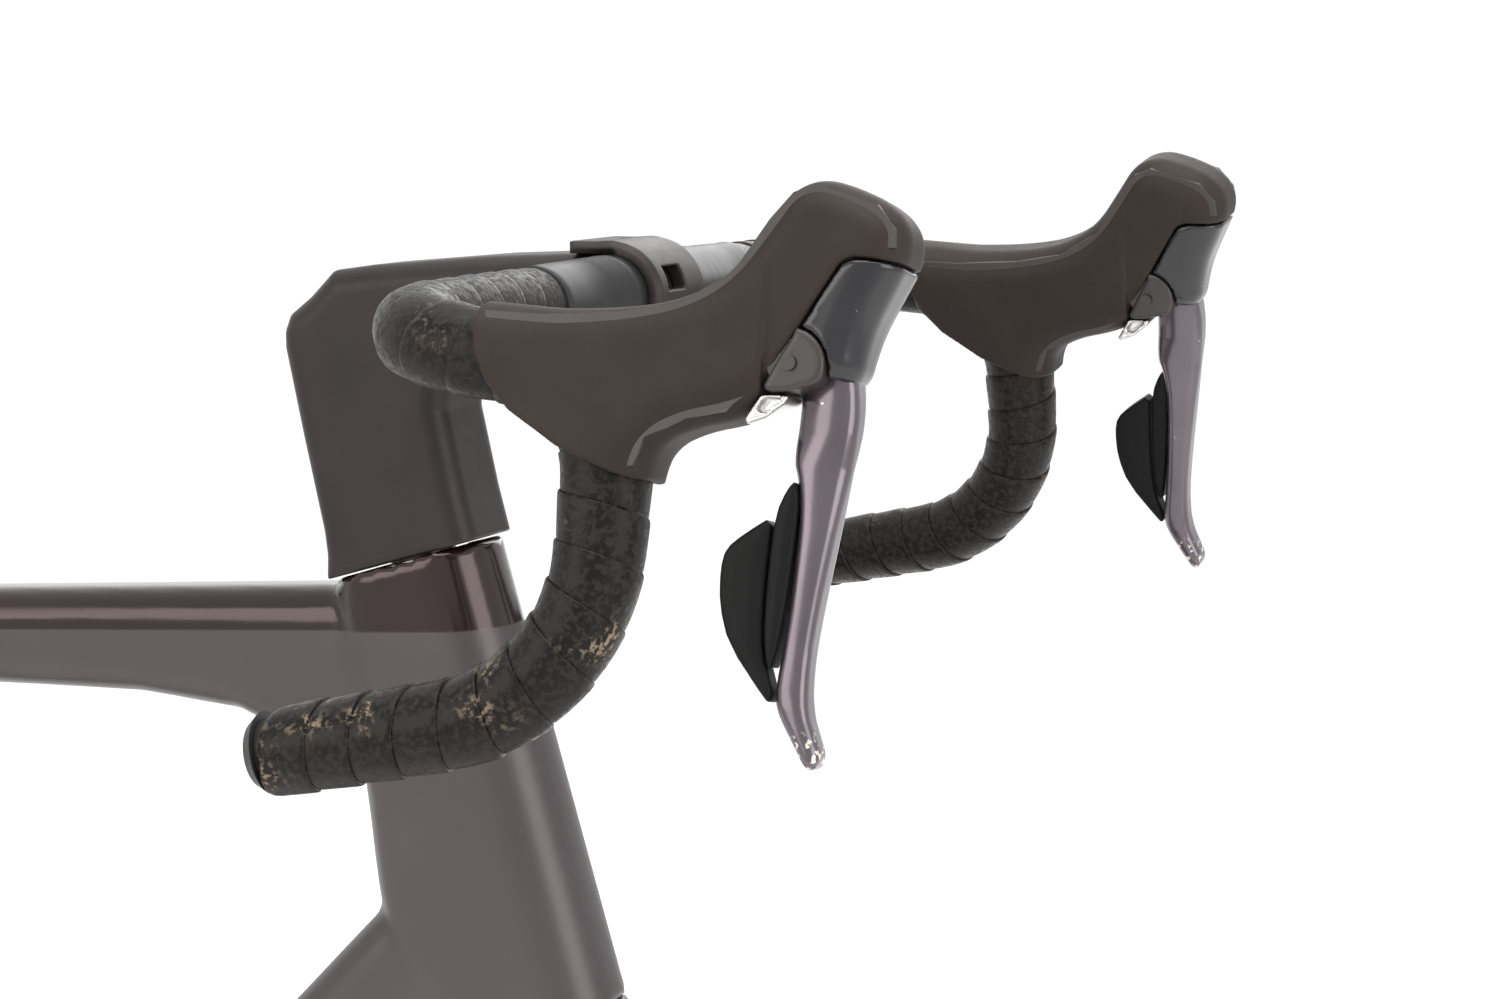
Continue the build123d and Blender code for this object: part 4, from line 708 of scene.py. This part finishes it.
# %% The wound ribbon
RIBBON = [(0.0, 15.1), (0.015, 15.6), (0.06, 15.85), (0.15, 15.85), (0.4, 15.65), (0.7, 15.4), (0.92, 15.2),
          (1.0, 15.0), (1.1, 14.6), (1.1, 12.3), (0.16, 12.3), (0.13, 14.7), (0.0, 14.8)]
STEPS_A_TURN = 64
turns = (bar_length - TAPE_START) / TAPE_PITCH - 1.0
count = int(turns * STEPS_A_TURN)
phase = np.arange(count + 1) / STEPS_A_TURN
share, lift = (np.array(column) for column in zip(*RIBBON))
along = TAPE_START + TAPE_PITCH * (phase[:, None] + share[None, :])
angle = -2 * np.pi * phase[:, None] + 0 * along
winding = around(bar_frames, along, lift[None, :] + 0.12 * np.sin(0.9 * angle + 2), angle)
rows, columns = along.shape
ring = np.arange(columns)
start = (np.arange(rows - 1)[:, None] * columns + ring).ravel()
nxt = (np.arange(rows - 1)[:, None] * columns + (ring + 1) % columns).ravel()
faces = np.stack([start, nxt, nxt + columns, start + columns], 1).tolist()
faces += [list(ring[::-1]), list(ring + (rows - 1) * columns)]


def wound(name, points, faces):
    """A mesh object whose normals are made to point outwards."""
    mesh = bpy.data.meshes.new(name)
    mesh.from_pydata((np.asarray(points).reshape(-1, 3) / 1000).tolist(), [], faces)
    outwards(mesh)
    mesh.shade_smooth()
    made = bpy.data.objects.new(name, mesh)
    scene.collection.objects.link(made)
    return made


def outwards(mesh):
    """Recalculates a closed mesh's normals."""
    shape = bmesh.new()
    shape.from_mesh(mesh)
    bmesh.ops.recalc_face_normals(shape, faces=shape.faces)
    shape.to_mesh(mesh)
    shape.free()


ribbon = wound("right_tape_winding", winding, faces)
# Where hands and floors rub: place in the drop's plane, and how far the wear spreads.
RUBBED = [((36, 10, 12), 15), ((50, 7, 11), 11), ((90, -52, 13), 13), ((-12, -132, 6), 22),
          ((14, -128, 9), 17), ((60, -118, 12), 14), ((100, -100, 10), 16), ((-24, -150, 12), 12)]
verts = np.array([v.co for v in ribbon.data.vertices]) * 1000
wear = np.zeros(len(verts))
for spot, spread in RUBBED:
    gap = np.linalg.norm(verts - np.array(drop_place(*spot)), axis=1)
    wear = np.maximum(wear, np.clip(1.3 - gap / spread, 0, 1))
ribbon.data.attributes.new("wear", "FLOAT", "POINT").data.foreach_set("value", wear.astype(np.float32))
both_sides(ribbon, "tape_winding", "front_end", "tape", tape, "{}_bar_tape")
print("tape:", round(turns, 1), "turns,", len(ribbon.data.polygons), "faces")


# %% Smooth finishing tape beside the stem
def lathe(name, profile, origin, steps=96):
    """A solid of revolution about a line along Y, from (y, radius) points in millimetres."""
    profile = np.array(profile, float)
    angle = np.linspace(0, 2 * np.pi, steps, endpoint=False)
    points = np.stack([origin[0] + profile[None, :, 1] * np.cos(angle)[:, None],
                       origin[1] + profile[None, :, 0] + 0 * angle[:, None],
                       origin[2] + profile[None, :, 1] * np.sin(angle)[:, None]], -1)
    size = len(profile)
    start = (np.arange(steps)[:, None] * size + np.arange(size)).ravel()
    nxt = (np.arange(steps)[:, None] * size + (np.arange(size) + 1) % size).ravel()
    faces = np.stack([start, nxt, (nxt + size) % (steps * size), (start + size) % (steps * size)], 1)
    return wound(name, points, faces.tolist())


smooth_tape = Finish("finishing_tape", (0.012, 0.012, 0.012), 0.4, Specular_IOR_Level=0.25)
smooth_tape.set("Roughness", smooth_tape.noise(1.0, 2, where=smooth_tape.stretch((60, 900, 60))) * 0.2 + 0.3)
SLEEVE = [(-24, 15.0), (-24, 16.7), (-24.6, 17.0), (-34, 17.0), (-34.4, 16.8), (-52, 16.8), (-52.4, 16.6),
          (-74, 16.5), (-88, 16.3), (-93, 16.5), (-93.4, 16.2), (-93.4, 13)]
sleeve_piece = lathe("right_finishing_tape", SLEEVE, BAR)
both_sides(sleeve_piece, "finishing_tape", "front_end", "tape", smooth_tape)

# %% [markdown]
# ## Stem and ring
# Stem and steering cover are one deep carbon form with rolled corners and a soft rear corner. The
# faceplate is a broad ring with chamfered edges, a slot on top and a small window in front, through
# which the bar's angle marks show.

# %% The stem
stem_plane = (Vector((BAR.x, 0, BAR.z)), Vector((1, 0, 0)), Vector((0, 0, 1)), Vector((0, -1, 0)))


def on_steerer(along, forward):
    """A point on the side view of the steering axis, from the bar's centre."""
    place = CROWN + STEER_UP * along + STEER_FORWARD * forward - BAR
    return place.x, place.z


COVER_FOOT = 200.8
rear_top, front_top = on_steerer(310, -27.5), on_steerer(262, 37)
STEM_OUTLINE = [on_steerer(185, -43), on_steerer(COVER_FOOT, -38.5), on_steerer(211, -35.2),
                on_steerer(221, -33.6), on_steerer(262, -31), on_steerer(299, -28.2),
                on_steerer(306, -26.2), on_steerer(312, -21.5), (rear_top[0] + 15, rear_top[1] + 11.2),
                (rear_top[0] + 26, 7.4), (rear_top[0] + 44, 10), (-60, 14.7), (-19, 16.8), (6, 14),
                (6, -18), (-8, -25.5), (front_top[0] + 14, front_top[1] + 13),
                (front_top[0] + 3, front_top[1] + 3), on_steerer(255, 37), on_steerer(221, 34.8),
                on_steerer(COVER_FOOT, 34.4), on_steerer(185, 34.4)]
lowest = np.array(STEM_OUTLINE).min(axis=0)
box = Block((lowest[0] - 4, lowest[1] - 4, -26), (24, 26, 26), 1.1)
stem_field = rounded(box.outline(STEM_OUTLINE), np.abs(box.z) - 23.3, 10.0)
foot = np.array(on_steerer(COVER_FOOT, 0))
up_x, up_z = STEER_UP.x, STEER_UP.z
stem_field = trim(stem_field, (foot[0] - box.x) * up_x + (foot[1] - box.y) * up_z, 0.8)
stem_field = trim(stem_field, 15.95 - np.sqrt(box.x ** 2 + box.y ** 2), 0.4)
stem_piece = moulded("stem_skin", box, stem_field, stem_plane, 8)
settle(stem_piece, "front_end", "carbon", satin, "stem", "steerer_cover")

# %% The ring that clamps the bar
ring_block = Block((-25, -29, -26), (25, 26, 26), 0.7)
middle = np.sqrt(ring_block.x ** 2 + ring_block.y ** 2)
LUGS = [(-19, 16.9), (-19, 22), (0, 22), (12, 17), (16, 0), (14, -26), (1, -26), (1, 16.9)]
flat = join(middle - 22, ring_block.outline(LUGS), 2.0)
flat = np.maximum(flat, -ring_block.outline([(-30, 16.9), (-30, -30), (0.3, -30), (0.3, 16.9)]))
half = np.abs(ring_block.z) - 23.5
ring_field = trim(trim(flat, half, 0.5), (flat + half + 2.6) * 0.7071, 0.5)
ring_field = trim(ring_field, 15.95 - middle, 0.5)
slot_on_top = np.maximum(np.abs(ring_block.x + 7) - 2.2, np.abs(ring_block.z) - 8) + 0 * ring_block.y
ring_field = np.maximum(ring_field, -np.maximum(slot_on_top, 20.2 - ring_block.y))
window = np.maximum(np.abs(ring_block.z - 6) - 8, np.abs(ring_block.y - 7.5) - 4.6)
ring_field = trim(ring_field, -np.maximum(window, 12 - ring_block.x), 0.5)
ring_piece = moulded("faceplate_skin", ring_block, ring_field, stem_plane, 2)
settle(ring_piece, "front_end", "carbon", satin, "stem_faceplate")

print("stem and ring are in place")

# %% [markdown]
# ## Frame and fork
# A carbon frame's tubes flow into each other with broad fillets, because they are one lay-up. The CAD
# tubes only meet. So a copy of each is turned into an even grid of cells by the Remesh modifier and
# smoothed hard, and only the points that end up outside the old surface are kept: those fill the
# inside corners, while every outer face stays exactly where it was.

# %% Melting the junctions together
def even_grid(name, node, cell):
    """A copy of a CAD node's closed mesh as an even grid of quads."""
    mesh = nodes[node].data.copy()
    shape = bmesh.new()
    shape.from_mesh(mesh)
    bmesh.ops.remove_doubles(shape, verts=shape.verts, dist=1e-6)
    shape.to_mesh(mesh)
    shape.free()
    made = bpy.data.objects.new(name, mesh)
    scene.collection.objects.link(made)
    remesh = made.modifiers.new("cells", "REMESH")
    remesh.mode, remesh.voxel_size = "VOXEL", cell / 1000
    grid = bpy.data.meshes.new_from_object(made.evaluated_get(bpy.context.evaluated_depsgraph_get()))
    points = np.zeros(len(grid.vertices) * 3)
    grid.vertices.foreach_get("co", points)
    faces = np.array([tuple(face.vertices) for face in grid.polygons])
    tree = BVHTree.FromPolygons([v.co for v in mesh.vertices], [tuple(f.vertices) for f in mesh.polygons])
    bpy.data.objects.remove(made)
    return points.reshape(-1, 3), faces, tree


def melted(name, node, cell, rounds, most):
    """The node's skin with its inside corners filled."""
    points, faces, tree = even_grid(name, node, cell)
    pairs = np.unique(np.sort(np.concatenate([faces[:, [i, (i + 1) % 4]] for i in range(4)]), axis=1), axis=0)
    start, end = pairs.T
    size = len(points)
    count = np.bincount(pairs.ravel(), minlength=size)
    smooth = points.copy()
    for _ in range(rounds):
        for axis in range(3):
            column = smooth[:, axis]
            total = np.bincount(start, column[end], size) + np.bincount(end, column[start], size)
            smooth[:, axis] = 0.4 * column + 0.6 * total / count
    filled = 0
    for index, point in enumerate(smooth):
        near, normal, _, gap = tree.find_nearest(Vector(point))
        if gap < most / 1000 and (Vector(point) - near).dot(normal) > 0:
            filled += 1
        else:
            smooth[index] = points[index]
    print(name, size, "points,", filled, "moved outwards")
    return piece_from(name, relaxed(smooth, faces, 5), faces)


frame_skin = melted("frame_skin", "frame", 2.7, 80, 9)
settle(frame_skin, "frame", "frame_paint", lacquer, "frame")
fork_skin = melted("fork_skin", "fork", 2.2, 50, 6)
settle(fork_skin, "front_end", "frame_paint", lacquer, "fork")

# %% [markdown]
# ## Saddle
# A saddle is foam and a thin cover over a stiff shell. The cover is modelled as cloth: the CAD shape
# is remeshed, blown up a little by Cloth with pressure while its underside is pinned to the shell,
# and held to a few millimetres. The panel seams and the relief channel are then pressed in.

# %% Blowing the pad up
def cloth_pad(name, node, cell, pressure, cap):
    """A cushion from a CAD node: remeshed, inflated by Cloth and held to a cap in millimetres."""
    points, faces, _ = even_grid(name, node, cell)
    made = piece_from(name, relaxed(points, faces, 6), faces)
    mesh = made.data
    before = np.array([v.co for v in mesh.vertices])
    normals = np.array([v.normal for v in mesh.vertices])
    pinned = made.vertex_groups.new(name="shell")
    for index in np.nonzero(normals[:, 2] < -0.25)[0]:
        pinned.add([int(index)], 1.0, "REPLACE")
    cloth = made.modifiers.new("pressure", "CLOTH")
    cloth.settings.effector_weights.gravity = 0
    cloth.settings.use_pressure = True
    cloth.settings.uniform_pressure_force = pressure
    cloth.settings.vertex_group_mass = "shell"
    cloth.settings.quality = 5
    cloth.collision_settings.use_collision = False
    for step in range(1, 17):
        scene.frame_set(step)
    blown = made.evaluated_get(bpy.context.evaluated_depsgraph_get()).to_mesh()
    after = np.array([v.co for v in blown.vertices])
    made.modifiers.remove(cloth)
    scene.frame_set(1)
    move = after - before
    far = np.linalg.norm(move, axis=1)[:, None]
    move *= np.minimum(1, cap / 1000 / np.maximum(far, 1e-9))
    print(name, len(before), "points, moved up to", round(float(far.max()) * 1000, 1), "mm, held to", cap)
    mesh.vertices.foreach_set("co", (before + move).ravel())
    mesh.update()
    return made


saddle_pad = cloth_pad("saddle_pad", "saddle", 3.6, 3.0, 2.2)
finer = saddle_pad.modifiers.new("finer", "SUBSURF")
finer.levels = finer.render_levels = 1
dense = bpy.data.meshes.new_from_object(saddle_pad.evaluated_get(bpy.context.evaluated_depsgraph_get()))
saddle_pad.modifiers.clear()
saddle_pad.data = dense

# %% Pressing the channel and the seams in
low, high = (np.array(corner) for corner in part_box("saddle"))
length = high[0] - low[0]
points = np.array([v.co for v in dense.vertices])
normals = np.array([v.normal for v in dense.vertices])
share = np.clip((points[:, 0] - low[0]) / length, 0, 1)
half = np.interp(share, [0, 0.07, 0.18, 0.37, 0.6, 0.85, 1], [60, 71, 68, 46, 23, 18, 13]) / 1000
across = np.abs(points[:, 1])
fade = np.clip((share - 0.04) / 0.08, 0, 1) * np.clip((0.9 - share) / 0.12, 0, 1)
top = np.clip((normals[:, 2] - 0.1) / 0.4, 0, 1)
channel = 0.0022 * np.exp(-(across / 0.0065) ** 2) * fade
seam = 0.0008 * np.exp(-((across - 0.74 * half) / 0.0011) ** 2)
welt = 0.0006 * np.exp(-((across - 0.74 * half - 0.0030) / 0.0016) ** 2)
points -= normals * ((channel + seam - welt) * top)[:, None]
dense.vertices.foreach_set("co", points.ravel())
dense.update()
settle(saddle_pad, "seat", "saddle", hide, "saddle")
print("saddle pad", len(dense.polygons), "faces")

# %% [markdown]
# ## Chain
# A chain repeats two links: a wide pair of plates outside and a narrow pair inside, with rollers
# between them. Geometry Nodes sets one link on each point of the chain's line, outer and inner in
# turn, and turns it to the line with an attribute that is stored on the points.

# %% The chain's line round its four wheels
PITCH, CHAIN_Y = 12.7, -47.9


def pitch_radius(teeth):
    return PITCH / 2 / math.sin(math.pi / teeth)


guide = [v * 1000 for v in joints["guide_pulley_spin"]["pos_m"]]
tension = [v * 1000 for v in joints["tension_pulley_spin"]["pos_m"]]
hub = [v * 1000 for v in joints["rear_wheel_spin"]["pos_m"]]
crank = [v * 1000 for v in joints["crank_spin"]["pos_m"]]
WHEELS_ROUND = [(crank[0], crank[2], pitch_radius(52), -1),
                (tension[0], tension[2], pitch_radius(11), -1),
                (guide[0], guide[2], pitch_radius(11), 1), (hub[0], hub[2], pitch_radius(15), -1)]
runs = []
for (x1, z1, r1, w1), (x2, z2, r2, w2) in zip(WHEELS_ROUND, WHEELS_ROUND[1:] + WHEELS_ROUND[:1]):
    heading = math.atan2(z2 - z1, x2 - x1) + math.asin((w1 * r1 - w2 * r2) / math.hypot(x2 - x1, z2 - z1))
    over, up = math.sin(heading), -math.cos(heading)
    runs.append(((x1 + w1 * r1 * over, z1 + w1 * r1 * up), (x2 + w2 * r2 * over, z2 + w2 * r2 * up)))
loop = []
for (leave, arrive), (next_leave, _), (x, z, radius, way) in zip(runs, runs[1:] + runs[:1],
                                                                  WHEELS_ROUND[1:] + WHEELS_ROUND[:1]):
    loop += [tuple(np.array(leave) + (np.array(arrive) - leave) * i / 60) for i in range(60)]
    start = math.atan2(arrive[1] - z, arrive[0] - x)
    turn = (math.atan2(next_leave[1] - z, next_leave[0] - x) - start) * way % (2 * math.pi) * way
    loop += [(x + radius * math.cos(start + turn * i / 60), z + radius * math.sin(start + turn * i / 60))
             for i in range(60)]
loop = np.array(loop + loop[:1])
travel = np.concatenate([[0], np.cumsum(np.linalg.norm(np.diff(loop, axis=0), axis=1))])
links = 2 * round(travel[-1] / PITCH / 2)
pins = np.linspace(0, travel[-1], links + 1)
pin_x, pin_z = np.interp(pins, travel, loop[:, 0]), np.interp(pins, travel, loop[:, 1])
middle_x, middle_z = (pin_x[1:] + pin_x[:-1]) / 2, (pin_z[1:] + pin_z[:-1]) / 2
turns_of = np.arctan2(pin_z[1:] - pin_z[:-1], pin_x[1:] - pin_x[:-1])
print("chain:", links, "links of", round(travel[-1] / links, 2), "mm")


# %% One outer and one inner link
def plate_outline(radius, waist, pitch):
    """A link plate's waisted outline."""
    ends = []
    for side in (1, -1):
        for step in range(9):
            angle = side * (-1.15 + 2.3 * step / 8) * side
            ends.append((side * (pitch / 2 + radius * math.cos(angle)), side * radius * math.sin(angle)))
        ends.append((0, side * waist))
    return ends


def slab(shape, outline, near, far):
    """Adds a flat plate between two places across the bike."""
    rings = [[shape.verts.new((x / 1000, y / 1000, z / 1000)) for x, z in outline] for y in (near, far)]
    shape.faces.new(rings[0])
    shape.faces.new(rings[1][::-1])
    for i in range(len(outline)):
        j = (i + 1) % len(outline)
        shape.faces.new((rings[0][j], rings[0][i], rings[1][i], rings[1][j]))


def circle(x, radius, steps=12):
    return [(x + radius * math.cos(2 * math.pi * i / steps), radius * math.sin(2 * math.pi * i / steps))
            for i in range(steps)]


def template(name, slabs):
    """A small mesh that Geometry Nodes will repeat."""
    shape = bmesh.new()
    for outline, near, far in slabs:
        slab(shape, outline, near, far)
    bmesh.ops.recalc_face_normals(shape, faces=shape.faces)
    mesh = bpy.data.meshes.new(name)
    shape.to_mesh(mesh)
    shape.free()
    made = bpy.data.objects.new(name, mesh)
    scene.collection.objects.link(made)
    return made


pitch = travel[-1] / links
outer_plate, inner_plate = plate_outline(4.0, 2.9, pitch), plate_outline(4.1, 3.0, pitch)
outer_link = template("outer_link", [(outer_plate, 2.0, 2.85), (outer_plate, -2.85, -2.0)]
                      + [(circle(x, 1.8), -3.1, 3.1) for x in (-pitch / 2, pitch / 2)])
inner_link = template("inner_link", [(inner_plate, 1.1, 1.95), (inner_plate, -1.95, -1.1)]
                      + [(circle(x, 3.75), -1.08, 1.08) for x in (-pitch / 2, pitch / 2)])


# %% A tree that lays two things in turn along a row of points
def laying_tree(name):
    """Geometry Nodes: instances of two objects on the points, turned by the attribute 'turn'."""
    tree = bpy.data.node_groups.new(name, "GeometryNodeTree")
    tree.interface.new_socket("Row", in_out="INPUT", socket_type="NodeSocketGeometry")
    for label in ("First", "Second"):
        tree.interface.new_socket(label, in_out="INPUT", socket_type="NodeSocketObject")
    size = tree.interface.new_socket("Size", in_out="INPUT", socket_type="NodeSocketFloat")
    size.default_value = 1.0
    tree.interface.new_socket("Finish", in_out="INPUT", socket_type="NodeSocketMaterial")
    tree.interface.new_socket("Made", in_out="OUTPUT", socket_type="NodeSocketGeometry")
    add, link = tree.nodes.new, tree.links.new
    given, made = add("NodeGroupInput"), add("NodeGroupOutput")
    turn = add("GeometryNodeInputNamedAttribute")
    turn.data_type = "FLOAT_VECTOR"
    turn.inputs["Name"].default_value = "turn"
    order, half = add("GeometryNodeInputIndex"), add("ShaderNodeMath")
    half.operation = "MODULO"
    half.inputs[1].default_value = 2
    link(order.outputs[0], half.inputs[0])
    flip = add("ShaderNodeMath")
    flip.operation = "SUBTRACT"
    flip.inputs[0].default_value = 1
    link(half.outputs[0], flip.inputs[1])
    both = add("GeometryNodeJoinGeometry")
    for label, chosen in (("First", flip), ("Second", half)):
        info, lay = add("GeometryNodeObjectInfo"), add("GeometryNodeInstanceOnPoints")
        info.transform_space = "ORIGINAL"
        link(given.outputs[label], info.inputs["Object"])
        link(given.outputs["Row"], lay.inputs["Points"])
        link(chosen.outputs[0], lay.inputs["Selection"])
        link(info.outputs["Geometry"], lay.inputs["Instance"])
        link(turn.outputs["Attribute"], lay.inputs["Rotation"])
        link(given.outputs["Size"], lay.inputs["Scale"])
        link(lay.outputs[0], both.inputs[0])
    real, finish = add("GeometryNodeRealizeInstances"), add("GeometryNodeSetMaterial")
    link(both.outputs[0], real.inputs[0])
    link(real.outputs[0], finish.inputs["Geometry"])
    link(given.outputs["Finish"], finish.inputs["Material"])
    link(finish.outputs[0], made.inputs[0])
    return tree


LAYING = laying_tree("lay_in_turn")


def laid(name, places, turns, first, second, finish, size=1.0):
    """Runs the tree over a row of points and returns the result as a plain mesh object."""
    row = bpy.data.meshes.new(name + "_row")
    row.from_pydata([tuple(p) for p in places], [], [])
    row.attributes.new("turn", "FLOAT_VECTOR", "POINT").data.foreach_set("vector", np.ravel(turns))
    holder = bpy.data.objects.new(name + "_row", row)
    scene.collection.objects.link(holder)
    modifier = holder.modifiers.new("lay", "NODES")
    modifier.node_group = LAYING
    inputs = {item.name: item.identifier for item in LAYING.interface.items_tree if item.in_out == "INPUT"}
    for label, value in (("First", first), ("Second", second), ("Size", size), ("Finish", finish.material)):
        modifier[inputs[label]] = value
    mesh = bpy.data.meshes.new_from_object(holder.evaluated_get(bpy.context.evaluated_depsgraph_get()))
    bpy.data.objects.remove(holder)
    made = bpy.data.objects.new(name, mesh)
    mesh.name = name
    scene.collection.objects.link(made)
    return made


places = [(x / 1000, CHAIN_Y / 1000, z / 1000) for x, z in zip(middle_x, middle_z)]
link_turns = [(0, -angle, 0) for angle in turns_of]
chain_links = laid("chain_links", places, link_turns, outer_link, inner_link, plated)
settle(chain_links, "frame", "chain", plated, "chain")
print("chain links:", len(chain_links.data.polygons), "faces")

# %% [markdown]
# ## Bolts
# Socket-head bolts repeat on the chainrings, the bottle bosses and the ring that clamps the bar. One
# head with a hexagon socket is modelled, and the same tree sets it on each row of places.

# %% One socket head
def socket_head():
    """A 10 mm wide button head with a hexagon socket, facing up Z."""
    rings = []
    shape = bmesh.new()
    for radius, height, sides in ((5, 0, 24), (5, 1.6, 24), (4.4, 2.6, 24), (3.1, 3.0, 24), (2.6, 3.0, 6),
                                  (2.5, 0.9, 6)):
        ring = []
        for step in range(24):
            angle = 2 * math.pi * step / 24
            reach = radius
            if sides == 6:
                reach = radius * math.cos(math.pi / 6) / math.cos((angle % (math.pi / 3)) - math.pi / 6)
            place = (reach * math.cos(angle), reach * math.sin(angle), height)
            ring.append(shape.verts.new([v / 1000 for v in place]))
        rings.append(ring)
    for lower, upper in zip(rings, rings[1:]):
        for i in range(24):
            shape.faces.new((lower[i], lower[(i + 1) % 24], upper[(i + 1) % 24], upper[i]))
    shape.faces.new(rings[-1])
    shape.faces.new(rings[0][::-1])
    mesh = bpy.data.meshes.new("socket_head")
    shape.to_mesh(mesh)
    shape.free()
    made = bpy.data.objects.new("socket_head", mesh)
    scene.collection.objects.link(made)
    return made


head_template = socket_head()


def bolts(name, places, direction, size, body, finish, *stands_for):
    """Bolt heads of one size that all face one way; places are in millimetres."""
    turn = Vector((0, 0, 1)).rotation_difference(Vector(direction)).to_euler()
    places = [tuple(v / 1000 for v in place) for place in places]
    made = laid(name, places, [tuple(turn)] * len(places), head_template, head_template, finish, size)
    return settle(made, body, "dark_steel", finish, *stands_for)


mounts = {mount["name"]: mount for mount in frame["record"]["mounts"]}
for tube in ("down_tube", "seat_tube"):
    pair = [mounts[f"{tube}_boss_{number}"] for number in (1, 2)]
    places = [[v * 1000 for v in boss["pos_m"]] for boss in pair]
    bolts(f"{tube}_bolts", places, pair[0]["axis"], 0.85, "frame", dark_steel)
bolts("clamp_bolts", [(BAR.x + 13.6, side * 15, BAR.z - 20.5) for side in (1, -1)], (1, 0, 0), 0.62,
      "front_end", dark_steel, "stem_bolts")
ring_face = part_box("chainrings")[0][1] * 1000
bolts("chainring_bolts", [(crank[0] + 56 * math.cos(angle), ring_face + 0.4, crank[2] + 56 * math.sin(angle))
                          for angle in (math.radians(step) for step in (35, 145, 215, 325))], (0, -1, 0), 0.9,
      "crankset", dark_steel)

# %% Angle marks in the ring's window
long_mark = template("long_mark", [([(-0.2, -0.25), (0.25, -0.25), (0.25, 0.25), (-0.2, 0.25)], -0.3, 0.3)])
mark = Finish("angle_mark", (0.55, 0.54, 0.52), 0.6)
mark.set("Base Color", mark.mix(mark.noise(900, 2), (0.42, 0.41, 0.39), (0.6, 0.59, 0.57)))
marks, angles = [], []
for column in range(5):
    for step in range(3 + (column % 2) * 2):
        angle = math.radians(27 - 1.7 * step)
        marks.append(((BAR.x + 16.0 * math.cos(angle)) / 1000, (-11.4 + 2.1 * column) / 1000,
                      (BAR.z + 16.0 * math.sin(angle)) / 1000))
        angles.append((0, -angle, 0))
angle_marks = laid("angle_marks", marks, angles, long_mark, long_mark, mark)
settle(angle_marks, "front_end", "plastic", mark)

# %% The front derailleur's mounting arm
arm_plane = (Vector((crank[0] - 66, 0, crank[2] + pitch_radius(52) + 20.5)), Vector((-0.284, 0, 0.9588)),
             Vector((-0.9588, 0, -0.284)), Vector((0, -1, 0)))
arm_block = Block((-20, -44, 4), (20, 20, 30), 1.0)
arm_field = rounded(arm_block.outline([(-13, -40), (-15, 11), (-8, 15), (8, 15), (15, 11), (13, -40)]),
                    np.abs(arm_block.z - 17) - 8.5, 3.0)
arm_piece = moulded("front_derailleur_arm", arm_block, arm_field, arm_plane, 3)
settle(arm_piece, "frame", "alloy", anodised)
for helper in (outer_link, inner_link, head_template, long_mark):
    bpy.data.objects.remove(helper)
print("bolts, marks and arm are in place")

# %% [markdown]
# ## Floor
# The bike stands on a large, almost white floor, which is a stage and not part of the model.

# %% The floor
bpy.ops.mesh.primitive_circle_add(vertices=96, radius=60, fill_type="NGON", location=(0, 0, -0.0005))
floor = bpy.context.object
floor.name = "floor"
paper = Finish("floor_paper", (0.95, 0.95, 0.95), 0.9, Specular_IOR_Level=0.0)
paper.set("Base Color", paper.mix(paper.noise(3, 3), (0.945, 0.945, 0.945), (0.965, 0.965, 0.965)))
finish_piece(floor, paper)
